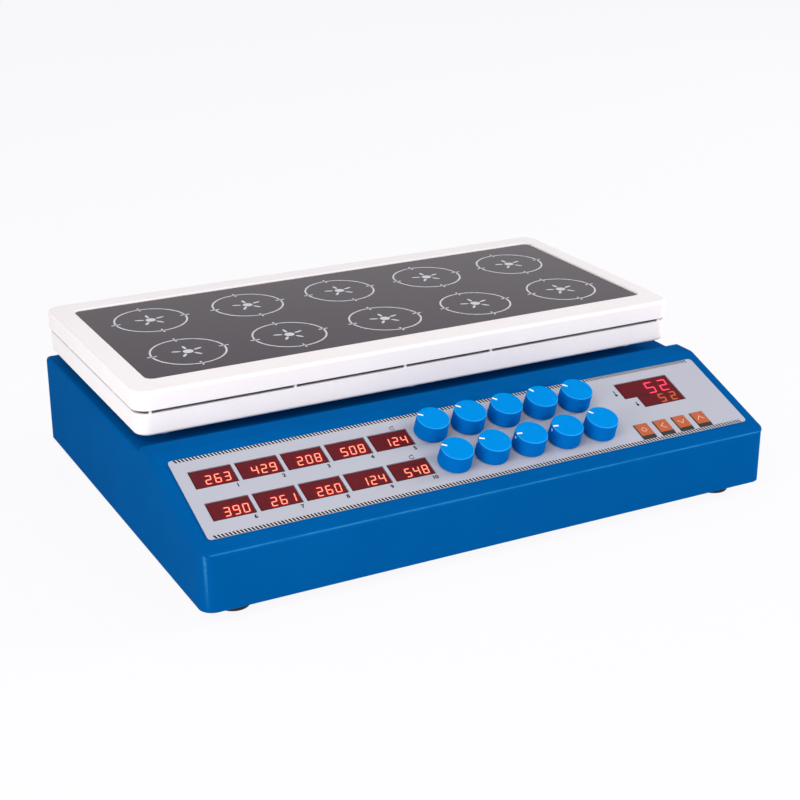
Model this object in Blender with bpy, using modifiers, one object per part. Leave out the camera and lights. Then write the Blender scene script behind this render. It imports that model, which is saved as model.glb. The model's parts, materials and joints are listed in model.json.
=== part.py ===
"""Ten-place hotplate stirrer for a laboratory bench.

A folded steel housing carries a sloping control panel at the front: ten speed displays, ten speed
knobs, a temperature display and four keys. Behind it a white heating tray stands on pillars over
the housing's deck. A glass plate with a heater under it closes the tray, and ten motors below the
deck turn the magnets that spin the stirring bars.

Frame: millimetre sizes written in metres, +X to the right, +Y to the rear, +Z up. The origin is on
the bench, under the middle of the whole machine.
"""
import math

import bmesh
import bpy
from mathutils import Matrix, Vector

# Clearances and shared small sizes
SEAT_GAP = 0.0003            # between pieces that rest on or stand in each other
OVERRUN = 0.001              # how far a cutting shape passes the face that it cuts
MERGE_DISTANCE = 0.00001     # points nearer than this become one
SHEET = 0.0015               # steel sheet of the housing
ARC_STEPS = 4                # straight pieces in a quarter of a rounded corner
SLOT_STEPS = 2               # straight pieces in the round end of a slot
EDGE_STEPS = 2               # straight pieces in a small rounded edge

# Housing
HOUSING_WIDTH = 0.4666
HOUSING_DEPTH = 0.3475       # front face to rear wall
REAR_TRIM_PROUD = 0.0025     # power module's flange face over the rear wall
HOUSING_BASE = 0.0100        # lower edge over the bench
FRONT_HEIGHT = 0.0424        # upright front face
LEDGE_HEIGHT = 0.0774        # ledge over the lower edge
DECK_DROP = 0.0064           # deck under the ledge
SLOPE_RUN = 0.0963           # the slope, seen from above
LEDGE_RUN = 0.0209
FRONT_CORNER_RADIUS = 0.0110
REAR_CORNER_RADIUS = 0.0045
FOLD_RADIUS = 0.0035         # folds along the slope, the ledge and the deck
FOLD_STEPS = 3

# Base plate and feet
VENT_LENGTH = 0.0420
VENT_WIDTH = 0.0040
VENT_PITCH = 0.0110
VENT_COUNT = 8
BASE_VENT_SHARE = 0.2475     # middle of each group of base vents, of the housing's width
FOOT_RADIUS = 0.0125
FOOT_TAPER = 0.0008
FOOT_EDGE = 0.0015
FOOT_INSET_X = 0.0300        # foot's axis from the side wall
FOOT_FRONT_INSET = 0.0235    # front foot's axis from the front face
FOOT_REAR_INSET = 0.0280     # rear foot's axis from the rear wall
FOOT_STEPS = 18

# Panel: places on it are shares of its width from its middle and of its height from its lower edge
PANEL_SIDE_MARGIN = 0.01005  # panel's edge from the housing's side
PANEL_LOWER_MARGIN = 0.0132  # panel's lower edge from the slope's lower fold
PANEL_UPPER_MARGIN = 0.00976 # panel's upper edge from the slope's upper fold
PANEL_THICKNESS = 0.0005
PANEL_CORNER = 0.0028
PANEL_SEAT = 0.0002
WINDOW_CLEARANCE = 0.0003
DISPLAY_HEIGHT = 0.0166
DISPLAY_DEPTH = 0.0080
DISPLAY_GAP = 0.0040         # between two displays in a row
DISPLAY_SET_IN = 0.0001      # display's face under the panel's face
DISPLAY_COLUMN_SHARES = (-0.44345, -0.36641, -0.28936, -0.21232, -0.13528)
DISPLAY_ROW_SHARES = (0.7119, 0.3057)
PROCESS_WIDTH = 0.0484       # upper, larger part of the temperature display
PROCESS_HEIGHT = 0.0169
SETPOINT_WIDTH = 0.0375      # lower, smaller part
SETPOINT_HEIGHT = 0.0126
TEMPERATURE_RIGHT_SHARE = 0.42396    # right edge of both parts
TEMPERATURE_BASE_SHARE = 0.4667      # lower edge of the smaller part

# Knobs
KNOB_COLUMN_SHARES = (-0.06316, 0.00672, 0.07660, 0.14647, 0.21635)
KNOB_ROW_SHARES = (0.7157, 0.2792)
KNOB_SHIFT_SHARES = (0.0, 0.0040)    # each row's shift to the right, of the panel's width
KNOB_RADIUS = 0.0126
KNOB_DRAFT = 0.0004          # the top is this much smaller than the foot, in radius
KNOB_HEIGHT = 0.0147         # top of a knob over the slope
KNOB_LIFT = 0.0006           # foot of a knob over the panel
KNOB_EDGE = 0.0011
KNOB_WALL = 0.0022
KNOB_ROOF = 0.0035
KNOB_HUB_RADIUS = 0.0048
KNOB_STEPS = 20
POINTER_WIDTH = 0.0013
POINTER_LENGTH = 0.0046
POINTER_DEPTH = 0.0004
SPINDLE_RADIUS = 0.0030
SPINDLE_CLEARANCE = 0.0006   # round a spindle, in radius
POINTER_ANGLES_UPPER = (140, 129, 132, 119, 140)
POINTER_ANGLES_LOWER = (141, 148, 158, 161, 130)

# Keys
KEY_COLUMN_SHARES = (0.30123, 0.34043, 0.37962, 0.41881)
KEY_ROW_SHARE = 0.1485
KEY_WIDTH = 0.0120
KEY_HEIGHT = 0.0163
KEY_PROUD = 0.0006           # key's face over the panel
KEY_TRAVEL = 0.00025
KEY_REST_GAP = 0.00005       # left between a pressed key and its switch
KEY_FLANGE = 0.0010          # flange that keeps a key in, all round and in thickness
KEY_STEM_RADIUS = 0.0018
KEY_EDGE = 0.0004

# Control board, under the panel and parallel to it
BOARD_THICKNESS = 0.0016
BOARD_MARGIN = 0.0020        # board's edge inside the panel's edge
POTENTIOMETER_RADIUS = 0.0082
POTENTIOMETER_HEIGHT = 0.0055
SWITCH_SIZE = 0.0060
SWITCH_HEIGHT = 0.0022
STANDOFF_RADIUS = 0.0030
STANDOFF_SHARES = (-0.485, -0.125, 0.190, 0.485)   # of the panel's width
STANDOFF_INSET = 0.0046      # from the board's long edges

# Heating tray
TRAY_CLEARANCE_HEIGHT = 0.0085   # tray's underside over the deck
TRAY_HEIGHT = 0.0168
TRAY_WALL = 0.0030
TRAY_FLOOR = 0.0020
TRAY_REAR_INSET = 0.0040     # frame's rear face from the housing's rear wall
TRAY_FRONT_INSET = 0.0056    # frame's front face from the ledge's rear edge
FRAME_LEFT_INSET = 0.00155   # frame's left side from the housing's left side
FRAME_RIGHT_INSET = 0.00355  # the same on the right
FRAME_HEIGHT = 0.0146
FRAME_CORNER = 0.0125
FRAME_EDGE = 0.0025
FRAME_EDGE_STEPS = 3
FRAME_GAP = 0.0027           # between the tray's rim and the frame
TRAY_INSET = 0.0015          # tray's side inside the frame's side
FRAME_SKIN = 0.0030
GLASS_LEFT_MARGIN = 0.0182   # frame's left bar
GLASS_RIGHT_MARGIN = 0.0148  # frame's right bar
GLASS_FRONT_MARGIN = 0.0248  # frame's front bar
GLASS_REAR_MARGIN = 0.0193   # frame's rear bar
GLASS_CORNER = 0.0060
GLASS_THICKNESS = 0.0040
GLASS_SET_IN = 0.0012        # glass under the frame's top
GLASS_LIP = 0.0055           # lip that carries the glass
HEATER_THICKNESS = 0.0030
PEG_RADIUS = 0.0012
PEG_STEPS = 6
PEG_SHARES = (-0.478, -0.234, -0.035, 0.130, 0.478)   # of the tray's width
SIDE_PEG_SHARES = (-0.25, 0.25)                       # of the tray's depth
PILLAR_RADIUS = 0.0070
PILLAR_INSET = 0.0270
PILLAR_SHARES = (-1, 0, 1)

# Stirring places
PLACE_COLUMN_SHARES = (-0.38740, -0.19370, 0.0, 0.19370, 0.38740)   # of the glass's width
PLACE_ROW_SHARES = (-0.235, 0.235)                                  # of the glass's depth
PLACE_SET_FORWARD = 0.0013   # middle of the places in front of the glass's middle
SHAFT_RADIUS = 0.0025
SHAFT_CLEARANCE = 0.0012
SHAFT_STEPS = 10
ROTOR_RADIUS = 0.0230
ROTOR_DISC = 0.0030
ROTOR_AIR_GAP = 0.0035       # magnets' tops under the heater
MAGNET_RADIUS = 0.0060
MAGNET_HEIGHT = 0.0045
MAGNET_OFFSET = 0.0150
MAGNET_STEPS = 10
ROTOR_HUB_RADIUS = 0.0060
ROTOR_HUB_HEIGHT = 0.0035
ROTOR_STEPS = 14
CARRIER_THICKNESS = 0.0020
MOTOR_RADIUS = 0.0175
MOTOR_HEIGHT = 0.0300
MOTOR_EDGE = 0.0020
MOTOR_BOSS_RADIUS = 0.0060
MOTOR_BOSS_HEIGHT = 0.0025
MOTOR_BORE_DEPTH = 0.0180
MOTOR_STEPS = 12

# Power module in the rear wall: inlet socket and rocker switch
MODULE_SHARE = -0.3336       # module's middle, of the housing's width
MODULE_Z = 0.0360            # over the housing's lower edge
MODULE_BODY_WIDTH = 0.0540
MODULE_BODY_HEIGHT = 0.0240
MODULE_BODY_DEPTH = 0.0270
MODULE_FLANGE = 0.0025       # flange round the body
SOCKET_OFFSET = 0.0115       # socket's middle from the module's middle
SOCKET_WIDTH = 0.0242
SOCKET_HEIGHT = 0.0162
SOCKET_DEPTH = 0.0165
SOCKET_CHAMFER = 0.0042
PIN_LENGTH = 0.0140
PIN_THICKNESS = 0.0020
PIN_BREADTH = 0.0040
PIN_SPACING = 0.0070
PIN_OFFSET = 0.0020
ROCKER_OFFSET = 0.0150       # rocker's pivot from the module's middle, the other way
ROCKER_HALF_LENGTH = 0.0088
ROCKER_WIDTH = 0.0124
ROCKER_END = 0.0015          # ends of the rocker over its pivot
ROCKER_MIDDLE = 0.0003
ROCKER_SIDE = 0.0012
ROCKER_BELLY = 0.0078
ROCKER_CLEARANCE = 0.0007    # round the ends of the rocker
ROCKER_PIVOT_DEPTH = 0.0034
ROCKER_TILT = math.radians(10)
ROCKER_ARC_START = math.radians(195)
ROCKER_ARC_SWEEP = math.radians(150)
ROCKER_ARC_STEPS = 6
REAR_VENT_SHARE = 0.1937     # middle of the rear vents, of the housing's width
REAR_VENT_Z = 0.0400

# Heights and places that follow from the sizes above
FRONT_Y = -(HOUSING_DEPTH + REAR_TRIM_PROUD) / 2
REAR_Y = FRONT_Y + HOUSING_DEPTH
DECK_Z = HOUSING_BASE + LEDGE_HEIGHT - DECK_DROP
TRAY_Z = DECK_Z + TRAY_CLEARANCE_HEIGHT
FRAME_Z = TRAY_Z + TRAY_HEIGHT + FRAME_GAP
FRAME_TOP = FRAME_Z + FRAME_HEIGHT
GLASS_TOP = FRAME_TOP - GLASS_SET_IN
GLASS_Z = GLASS_TOP - GLASS_THICKNESS
LIP_TOP = GLASS_Z - SEAT_GAP
HEATER_Z = GLASS_Z - SEAT_GAP - HEATER_THICKNESS
FRAME_WIDTH = HOUSING_WIDTH - FRAME_LEFT_INSET - FRAME_RIGHT_INSET
FRAME_DEPTH = HOUSING_DEPTH - SLOPE_RUN - LEDGE_RUN - TRAY_FRONT_INSET - TRAY_REAR_INSET
FRAME_X = (FRAME_LEFT_INSET - FRAME_RIGHT_INSET) / 2
FRAME_Y = REAR_Y - TRAY_REAR_INSET - FRAME_DEPTH / 2
GLASS_WIDTH = FRAME_WIDTH - GLASS_LEFT_MARGIN - GLASS_RIGHT_MARGIN
GLASS_DEPTH = FRAME_DEPTH - GLASS_FRONT_MARGIN - GLASS_REAR_MARGIN
GLASS_X = FRAME_X + (GLASS_LEFT_MARGIN - GLASS_RIGHT_MARGIN) / 2
GLASS_Y = FRAME_Y - FRAME_DEPTH / 2 + GLASS_FRONT_MARGIN + GLASS_DEPTH / 2
SLOPE_ANGLE = math.atan2(LEDGE_HEIGHT - FRONT_HEIGHT, SLOPE_RUN)
SLOPE_LENGTH = math.hypot(LEDGE_HEIGHT - FRONT_HEIGHT, SLOPE_RUN)
PANEL_WIDTH = HOUSING_WIDTH - 2 * PANEL_SIDE_MARGIN
PANEL_HEIGHT = SLOPE_LENGTH - PANEL_LOWER_MARGIN - PANEL_UPPER_MARGIN
DISPLAY_WIDTH = (DISPLAY_COLUMN_SHARES[1] - DISPLAY_COLUMN_SHARES[0]) * PANEL_WIDTH - DISPLAY_GAP
BOARD_TOP = -(DISPLAY_DEPTH - PANEL_SEAT - PANEL_THICKNESS + DISPLAY_SET_IN + SEAT_GAP)
MAGNET_TOP = HEATER_Z - ROTOR_AIR_GAP
CARRIER_Z = DECK_Z - SHEET - SEAT_GAP - CARRIER_THICKNESS
MOTOR_TOP = CARRIER_Z - SEAT_GAP
MODULE_X = MODULE_SHARE * HOUSING_WIDTH
SOCKET_X = MODULE_X + SOCKET_OFFSET
ROCKER_X = MODULE_X - ROCKER_OFFSET

# Colours: (red, green, blue), roughness, metallic
BLUE_PAINT = ((0.012, 0.110, 0.340), 0.35, 0.0)
ZINC = ((0.550, 0.560, 0.580), 0.45, 1.0)
BLACK_RUBBER = ((0.020, 0.020, 0.022), 0.80, 0.0)
WHITE_ENAMEL = ((0.860, 0.850, 0.840), 0.35, 0.0)
DARK_GLASS = ((0.100, 0.085, 0.105), 0.12, 0.0)
SILVER_FILM = ((0.520, 0.530, 0.600), 0.40, 0.0)
RED_WINDOW = ((0.130, 0.015, 0.020), 0.20, 0.0)
BLUE_PLASTIC = ((0.005, 0.280, 0.830), 0.40, 0.0)
ORANGE_PLASTIC = ((0.600, 0.130, 0.032), 0.45, 0.0)
CAST_ALUMINIUM = ((0.700, 0.700, 0.710), 0.50, 1.0)
BOARD_GREEN = ((0.020, 0.130, 0.050), 0.50, 0.0)
BLACK_PLASTIC = ((0.025, 0.025, 0.027), 0.50, 0.0)
MAGNET_NICKEL = ((0.620, 0.600, 0.560), 0.30, 1.0)


def clear_scene():
    """Remove whatever the file holds before the model is made."""
    for obj in list(bpy.data.objects):
        bpy.data.objects.remove(obj, do_unlink=True)


def make_collection(name):
    """Make a collection in the scene."""
    collection = bpy.data.collections.new(name)
    bpy.context.scene.collection.children.link(collection)
    return collection


def make_material(name, finish):
    """Make a plain surface from a colour, a roughness and a metallic value."""
    colour, roughness, metallic = finish
    material = bpy.data.materials.new(name)
    material.use_nodes = True
    shader = material.node_tree.nodes["Principled BSDF"]
    shader.inputs["Base Color"].default_value = (*colour, 1.0)
    shader.inputs["Roughness"].default_value = roughness
    shader.inputs["Metallic"].default_value = metallic
    return material


def add_piece(name, mesh, finish, matrix):
    """Put a mesh in the model as a named piece with its own material."""
    mesh.materials.clear()
    mesh.materials.append(make_material(name, finish))
    piece = bpy.data.objects.new(name, mesh)
    piece.matrix_world = matrix
    MODEL.objects.link(piece)
    return piece


def add_shape(name, mesh, matrix):
    """Put a mesh beside the model as a shape that cuts or joins a piece."""
    shape = bpy.data.objects.new(name, mesh)
    shape.matrix_world = matrix
    shape.hide_render = True
    shape.display_type = "WIRE"
    SHAPES.objects.link(shape)
    return shape


def combine(piece, operation, name, mesh, matrix):
    """Cut a shape out of a piece, or join it on."""
    modifier = piece.modifiers.new(name, "BOOLEAN")
    modifier.operation = operation
    modifier.solver = "EXACT"
    modifier.object = add_shape(piece.name + "_" + name, mesh, matrix)


def round_edges(piece, width, steps, limit, angle=math.radians(60)):
    """Round the edges of a piece, by their angle or by their weight."""
    modifier = piece.modifiers.new("round_edges", "BEVEL")
    modifier.width = width
    modifier.segments = steps
    modifier.limit_method = limit
    modifier.angle_limit = angle


def smooth(mesh, angle=math.radians(35)):
    """Shade a mesh smooth apart from its sharp edges."""
    mesh.shade_smooth()
    mesh.set_sharp_from_angle(angle=angle)


def at(x, y, z):
    """Return the matrix of a plain place."""
    return Matrix.Translation((x, y, z))


def on_slope(x, s, n=0.0, turn=0.0):
    """Return the matrix of a place on the slope.

    x runs across the machine, s up the slope from its lower fold and n out of it. The local X and Y
    axes lie in the slope, turned about its normal, which is the local Z axis.
    """
    fold = Matrix.Translation((0.0, FRONT_Y, HOUSING_BASE + FRONT_HEIGHT))
    tilt = Matrix.Rotation(SLOPE_ANGLE, 4, "X")
    return fold @ tilt @ Matrix.Translation((x, s, n)) @ Matrix.Rotation(turn, 4, "Z")


def arc(centre_x, centre_y, radius, start, sweep, steps):
    """Return the points of an arc, both ends included."""
    angles = [start + sweep * step / steps for step in range(steps + 1)]
    return [(centre_x + radius * math.cos(a), centre_y + radius * math.sin(a)) for a in angles]


def rounded_rectangle(width, height, radii, centre_x=0.0, centre_y=0.0, steps=ARC_STEPS):
    """Return a rectangle's outline with rounded corners.

    radii are those of the lower right, upper right, upper left and lower left corner.
    """
    corners = ((1, -1), (1, 1), (-1, 1), (-1, -1))
    points = []
    for index, ((side_x, side_y), radius) in enumerate(zip(corners, radii)):
        x = centre_x + side_x * (width / 2 - radius)
        y = centre_y + side_y * (height / 2 - radius)
        points += arc(x, y, radius, (index - 1) * math.pi / 2, math.pi / 2, steps)
    return points


def rectangle(width, height, centre_x=0.0, centre_y=0.0):
    """Return a rectangle's outline."""
    left = centre_x - width / 2
    right = centre_x + width / 2
    low = centre_y - height / 2
    high = centre_y + height / 2
    return [(left, low), (right, low), (right, high), (left, high)]


def circle(radius, steps, centre_x=0.0, centre_y=0.0):
    """Return a circle's outline."""
    return arc(centre_x, centre_y, radius, 0.0, math.tau, steps)[:-1]


def slot(length, width, centre_x, centre_y):
    """Return the outline of a slot with round ends, long in y."""
    half = (length - width) / 2
    top = arc(centre_x, centre_y + half, width / 2, 0.0, math.pi, SLOT_STEPS)
    return top + arc(centre_x, centre_y - half, width / 2, math.pi, math.pi, SLOT_STEPS)


def flat_solid(outlines, thickness):
    """Return the mesh of a flat piece whose underside is at zero.

    An outline inside another is a hole in it, and one beside it is a body of its own.
    """
    curve = bpy.data.curves.new("outline", "CURVE")
    curve.dimensions = "2D"
    curve.fill_mode = "BOTH"
    curve.extrude = thickness / 2
    for points in outlines:
        spline = curve.splines.new("POLY")
        spline.points.add(len(points) - 1)
        for point, (x, y) in zip(spline.points, points):
            point.co = (x, y, 0.0, 1.0)
        spline.use_cyclic_u = True
    holder = bpy.data.objects.new("outline", curve)
    bpy.context.scene.collection.objects.link(holder)
    evaluated = holder.evaluated_get(bpy.context.evaluated_depsgraph_get())
    mesh = bpy.data.meshes.new_from_object(evaluated)
    bpy.data.objects.remove(holder)
    bpy.data.curves.remove(curve)
    bm = bmesh.new()
    bm.from_mesh(mesh)
    bmesh.ops.remove_doubles(bm, verts=bm.verts, dist=MERGE_DISTANCE)
    bmesh.ops.translate(bm, verts=bm.verts, vec=(0.0, 0.0, thickness / 2))
    bmesh.ops.dissolve_limit(bm, angle_limit=math.radians(1), verts=bm.verts, edges=bm.edges)
    bm.to_mesh(mesh)
    bm.free()
    return mesh


def turned(profile, steps):
    """Return the mesh of a turned piece from its profile, given as (radius, height) down its outside."""
    mesh = bpy.data.meshes.new("profile")
    edges = [(index, index + 1) for index in range(len(profile) - 1)]
    mesh.from_pydata([(radius, 0.0, height) for radius, height in profile], edges, [])
    holder = bpy.data.objects.new("profile", mesh)
    bpy.context.scene.collection.objects.link(holder)
    screw = holder.modifiers.new("turn", "SCREW")
    screw.axis = "Z"
    screw.angle = math.tau
    screw.steps = steps
    screw.render_steps = steps
    screw.use_merge_vertices = True
    screw.merge_threshold = MERGE_DISTANCE
    evaluated = holder.evaluated_get(bpy.context.evaluated_depsgraph_get())
    result = bpy.data.meshes.new_from_object(evaluated)
    bpy.data.objects.remove(holder)
    bpy.data.meshes.remove(mesh)
    smooth(result)
    return result


def boxes(corners):
    """Return one mesh with a box for each pair of low and high corners."""
    mesh = bpy.data.meshes.new("boxes")
    bm = bmesh.new()
    for low, high in corners:
        low = Vector(low)
        high = Vector(high)
        size = Matrix.Diagonal((*(high - low), 1.0))
        bmesh.ops.create_cube(bm, size=1.0, matrix=Matrix.Translation((low + high) / 2) @ size)
    bm.to_mesh(mesh)
    bm.free()
    return mesh


def cylinders(places, radius, low, high, steps):
    """Return one mesh with an upright cylinder at each place."""
    mesh = bpy.data.meshes.new("cylinders")
    bm = bmesh.new()
    for x, y in places:
        middle = Matrix.Translation((x, y, (low + high) / 2))
        bmesh.ops.create_cone(bm, cap_ends=True, segments=steps, radius1=radius, radius2=radius,
                              depth=high - low, matrix=middle)
    bm.to_mesh(mesh)
    bm.free()
    return mesh


def stirring_places():
    """Return the axes of the stirring places, the front row first, from left to right."""
    middle = GLASS_Y - PLACE_SET_FORWARD
    return [(GLASS_X + column * GLASS_WIDTH, middle + row * GLASS_DEPTH)
            for row in PLACE_ROW_SHARES for column in PLACE_COLUMN_SHARES]


def on_panel(column, row):
    """Return a place on the slope from its shares of the panel's width and height."""
    return column * PANEL_WIDTH, PANEL_LOWER_MARGIN + row * PANEL_HEIGHT


def display_places():
    """Return the middles of the speed displays on the slope, the upper row first."""
    return [on_panel(column, row) for row in DISPLAY_ROW_SHARES for column in DISPLAY_COLUMN_SHARES]


def knob_places():
    """Return the axes of the knobs on the slope, the upper row first."""
    rows = zip(KNOB_ROW_SHARES, KNOB_SHIFT_SHARES)
    return [on_panel(column + shift, row) for row, shift in rows for column in KNOB_COLUMN_SHARES]


def key_places():
    """Return the middles of the keys on the slope."""
    return [on_panel(column, KEY_ROW_SHARE) for column in KEY_COLUMN_SHARES]


def temperature_outline(margin):
    """Return the stepped outline of the temperature display, grown by a margin."""
    edge, base = on_panel(TEMPERATURE_RIGHT_SHARE, TEMPERATURE_BASE_SHARE)
    right = edge + margin
    low = base - margin
    step = base + SETPOINT_HEIGHT - margin
    high = base + SETPOINT_HEIGHT + PROCESS_HEIGHT + margin
    short_left = edge - SETPOINT_WIDTH - margin
    long_left = edge - PROCESS_WIDTH - margin
    return [(short_left, low), (right, low), (right, high), (long_left, high), (long_left, step),
            (short_left, step)]


def panel_openings(margin):
    """Return the outlines of everything that passes through the panel."""
    width = DISPLAY_WIDTH + 2 * margin
    height = DISPLAY_HEIGHT + 2 * margin
    outlines = [rectangle(width, height, x, s) for x, s in display_places()]
    outlines.append(temperature_outline(margin))
    hole = SPINDLE_RADIUS + SPINDLE_CLEARANCE
    outlines += [circle(hole, SHAFT_STEPS, x, s) for x, s in knob_places()]
    key_width = KEY_WIDTH + 2 * margin
    key_height = KEY_HEIGHT + 2 * margin
    outlines += [rectangle(key_width, key_height, x, s) for x, s in key_places()]
    return outlines


def vent_slots(middle_x, middle_y):
    """Return a group of upright vent slots."""
    first = middle_x - (VENT_COUNT - 1) * VENT_PITCH / 2
    return [slot(VENT_LENGTH, VENT_WIDTH, first + index * VENT_PITCH, middle_y)
            for index in range(VENT_COUNT)]


def make_housing():
    """Make the housing: a folded steel shell, open below, with its openings."""
    ledge_front = FRONT_Y + SLOPE_RUN
    ledge_rear = ledge_front + LEDGE_RUN
    ledge = HOUSING_BASE + LEDGE_HEIGHT
    profile = [(FRONT_Y, HOUSING_BASE), (FRONT_Y, HOUSING_BASE + FRONT_HEIGHT), (ledge_front, ledge),
               (ledge_rear, ledge), (ledge_rear, DECK_Z), (REAR_Y, DECK_Z), (REAR_Y, HOUSING_BASE)]
    mesh = bpy.data.meshes.new("housing_shell")
    bm = bmesh.new()
    half = HOUSING_WIDTH / 2
    left = [bm.verts.new((-half, y, z)) for y, z in profile]
    side = bm.faces.new(left)
    extruded = bmesh.ops.extrude_face_region(bm, geom=[side])
    moved = [item for item in extruded["geom"] if isinstance(item, bmesh.types.BMVert)]
    bmesh.ops.translate(bm, verts=moved, vec=(HOUSING_WIDTH, 0.0, 0.0))
    bmesh.ops.recalc_face_normals(bm, faces=bm.faces)
    floor = [face for face in bm.faces if face.normal.z < -0.5]
    bmesh.ops.delete(bm, geom=floor, context="FACES_ONLY")
    weight = bm.edges.layers.float.new("bevel_weight_edge")
    for edge in bm.edges:
        first, second = (vert.co for vert in edge.verts)
        middle = (first + second) / 2
        upright = abs(first.z - second.z) > FRONT_HEIGHT / 2 and abs(first.y - second.y) < OVERRUN
        if upright and middle.y < FRONT_Y + OVERRUN:
            edge[weight] = 1.0
        elif upright and middle.y > REAR_Y - OVERRUN:
            edge[weight] = REAR_CORNER_RADIUS / FRONT_CORNER_RADIUS
        elif len(edge.link_faces) == 2 and edge.is_convex and middle.z > HOUSING_BASE + OVERRUN:
            edge[weight] = FOLD_RADIUS / FRONT_CORNER_RADIUS
    bm.to_mesh(mesh)
    bm.free()
    mesh.shade_smooth()
    mesh.set_sharp_from_angle(angle=math.radians(80))
    housing = add_piece("housing_shell", mesh, BLUE_PAINT, Matrix())
    round_edges(housing, FRONT_CORNER_RADIUS, FOLD_STEPS, "WEIGHT")
    sheet = housing.modifiers.new("sheet", "SOLIDIFY")
    sheet.thickness = SHEET
    sheet.offset = -1.0
    sheet.use_even_offset = True
    cut = SHEET + 2 * OVERRUN
    combine(housing, "DIFFERENCE", "panel_openings", flat_solid(panel_openings(WINDOW_CLEARANCE), cut),
            on_slope(0.0, 0.0, -SHEET - OVERRUN))
    shaft_hole = SHAFT_RADIUS + SHAFT_CLEARANCE
    combine(housing, "DIFFERENCE", "shaft_holes",
            cylinders(stirring_places(), shaft_hole, 0.0, cut, SHAFT_STEPS),
            at(0.0, 0.0, DECK_Z - SHEET - OVERRUN))
    width = MODULE_BODY_WIDTH + 2 * WINDOW_CLEARANCE
    height = MODULE_BODY_HEIGHT + 2 * WINDOW_CLEARANCE
    vents = vent_slots(REAR_VENT_SHARE * HOUSING_WIDTH, REAR_VENT_Z)
    rear_openings = [rectangle(width, height, MODULE_X, MODULE_Z)] + vents
    combine(housing, "DIFFERENCE", "rear_openings", flat_solid(rear_openings, cut),
            at(0.0, REAR_Y + OVERRUN, HOUSING_BASE) @ Matrix.Rotation(math.pi / 2, 4, "X"))


def make_base():
    """Make the base plate with its vents, and the four feet under it."""
    inset = SHEET + SEAT_GAP
    front_radius = FRONT_CORNER_RADIUS - inset
    rear_radius = REAR_CORNER_RADIUS - inset
    radii = (front_radius, rear_radius, rear_radius, front_radius)
    outline = rounded_rectangle(HOUSING_WIDTH - 2 * inset, HOUSING_DEPTH - 2 * inset, radii)
    offset = BASE_VENT_SHARE * HOUSING_WIDTH
    outlines = [outline] + vent_slots(-offset, 0.0) + vent_slots(offset, 0.0)
    middle_y = (FRONT_Y + REAR_Y) / 2
    add_piece("base_plate", flat_solid(outlines, SHEET), ZINC, at(0.0, middle_y, HOUSING_BASE))
    top = HOUSING_BASE - SEAT_GAP
    lower = FOOT_RADIUS - FOOT_TAPER
    profile = [(0.0, top), (FOOT_RADIUS, top), (lower, FOOT_EDGE), (lower - FOOT_EDGE, 0.0), (0.0, 0.0)]
    x = HOUSING_WIDTH / 2 - FOOT_INSET_X
    for row, y in (("front", FRONT_Y + FOOT_FRONT_INSET), ("rear", REAR_Y - FOOT_REAR_INSET)):
        for side, sign in (("left", -1), ("right", 1)):
            add_piece(f"foot_{row}_{side}", turned(profile, FOOT_STEPS), BLACK_RUBBER,
                      at(sign * x, y, 0.0))


def make_panel():
    """Make the panel sheet and the displays that show in its windows."""
    outline = rounded_rectangle(PANEL_WIDTH, PANEL_HEIGHT, [PANEL_CORNER] * 4, 0.0,
                                PANEL_LOWER_MARGIN + PANEL_HEIGHT / 2)
    openings = panel_openings(WINDOW_CLEARANCE)
    add_piece("control_panel", flat_solid([outline] + openings, PANEL_THICKNESS), SILVER_FILM,
              on_slope(0.0, 0.0, PANEL_SEAT))
    low = PANEL_SEAT + PANEL_THICKNESS - DISPLAY_SET_IN - DISPLAY_DEPTH
    for index, (x, s) in enumerate(display_places()):
        mesh = flat_solid([rectangle(DISPLAY_WIDTH, DISPLAY_HEIGHT)], DISPLAY_DEPTH)
        add_piece(f"speed_display_{index + 1:02d}", mesh, RED_WINDOW, on_slope(x, s, low))
    add_piece("temperature_display", flat_solid([temperature_outline(0.0)], DISPLAY_DEPTH), RED_WINDOW,
              on_slope(0.0, 0.0, low))


def make_knobs():
    """Make the speed knobs, each a hollow cap with its hub on its spindle."""
    base = PANEL_SEAT + PANEL_THICKNESS + KNOB_LIFT
    top_radius = KNOB_RADIUS - KNOB_DRAFT
    shoulder = arc(top_radius - KNOB_EDGE, KNOB_HEIGHT - KNOB_EDGE, KNOB_EDGE, math.pi / 2, -math.pi / 2,
                   EDGE_STEPS)
    roof = KNOB_HEIGHT - KNOB_ROOF
    inner = KNOB_RADIUS - KNOB_WALL
    tip = BOARD_TOP + 2 * SEAT_GAP
    profile = ([(0.0, KNOB_HEIGHT)] + shoulder
               + [(KNOB_RADIUS, base), (inner, base), (inner, roof), (KNOB_HUB_RADIUS, roof),
                  (KNOB_HUB_RADIUS, base), (SPINDLE_RADIUS, base), (SPINDLE_RADIUS, tip), (0.0, tip)])
    inner_end = top_radius - POINTER_LENGTH
    groove_low = (inner_end, -POINTER_WIDTH / 2, KNOB_HEIGHT - POINTER_DEPTH)
    groove_high = (KNOB_RADIUS + OVERRUN, POINTER_WIDTH / 2, KNOB_HEIGHT + OVERRUN)
    angles = POINTER_ANGLES_UPPER + POINTER_ANGLES_LOWER
    for index, ((x, s), angle) in enumerate(zip(knob_places(), angles)):
        matrix = on_slope(x, s, 0.0, math.radians(angle))
        knob = add_piece(f"speed_knob_{index + 1:02d}", turned(profile, KNOB_STEPS), BLUE_PLASTIC, matrix)
        combine(knob, "DIFFERENCE", "pointer", boxes([(groove_low, groove_high)]), matrix)


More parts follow.
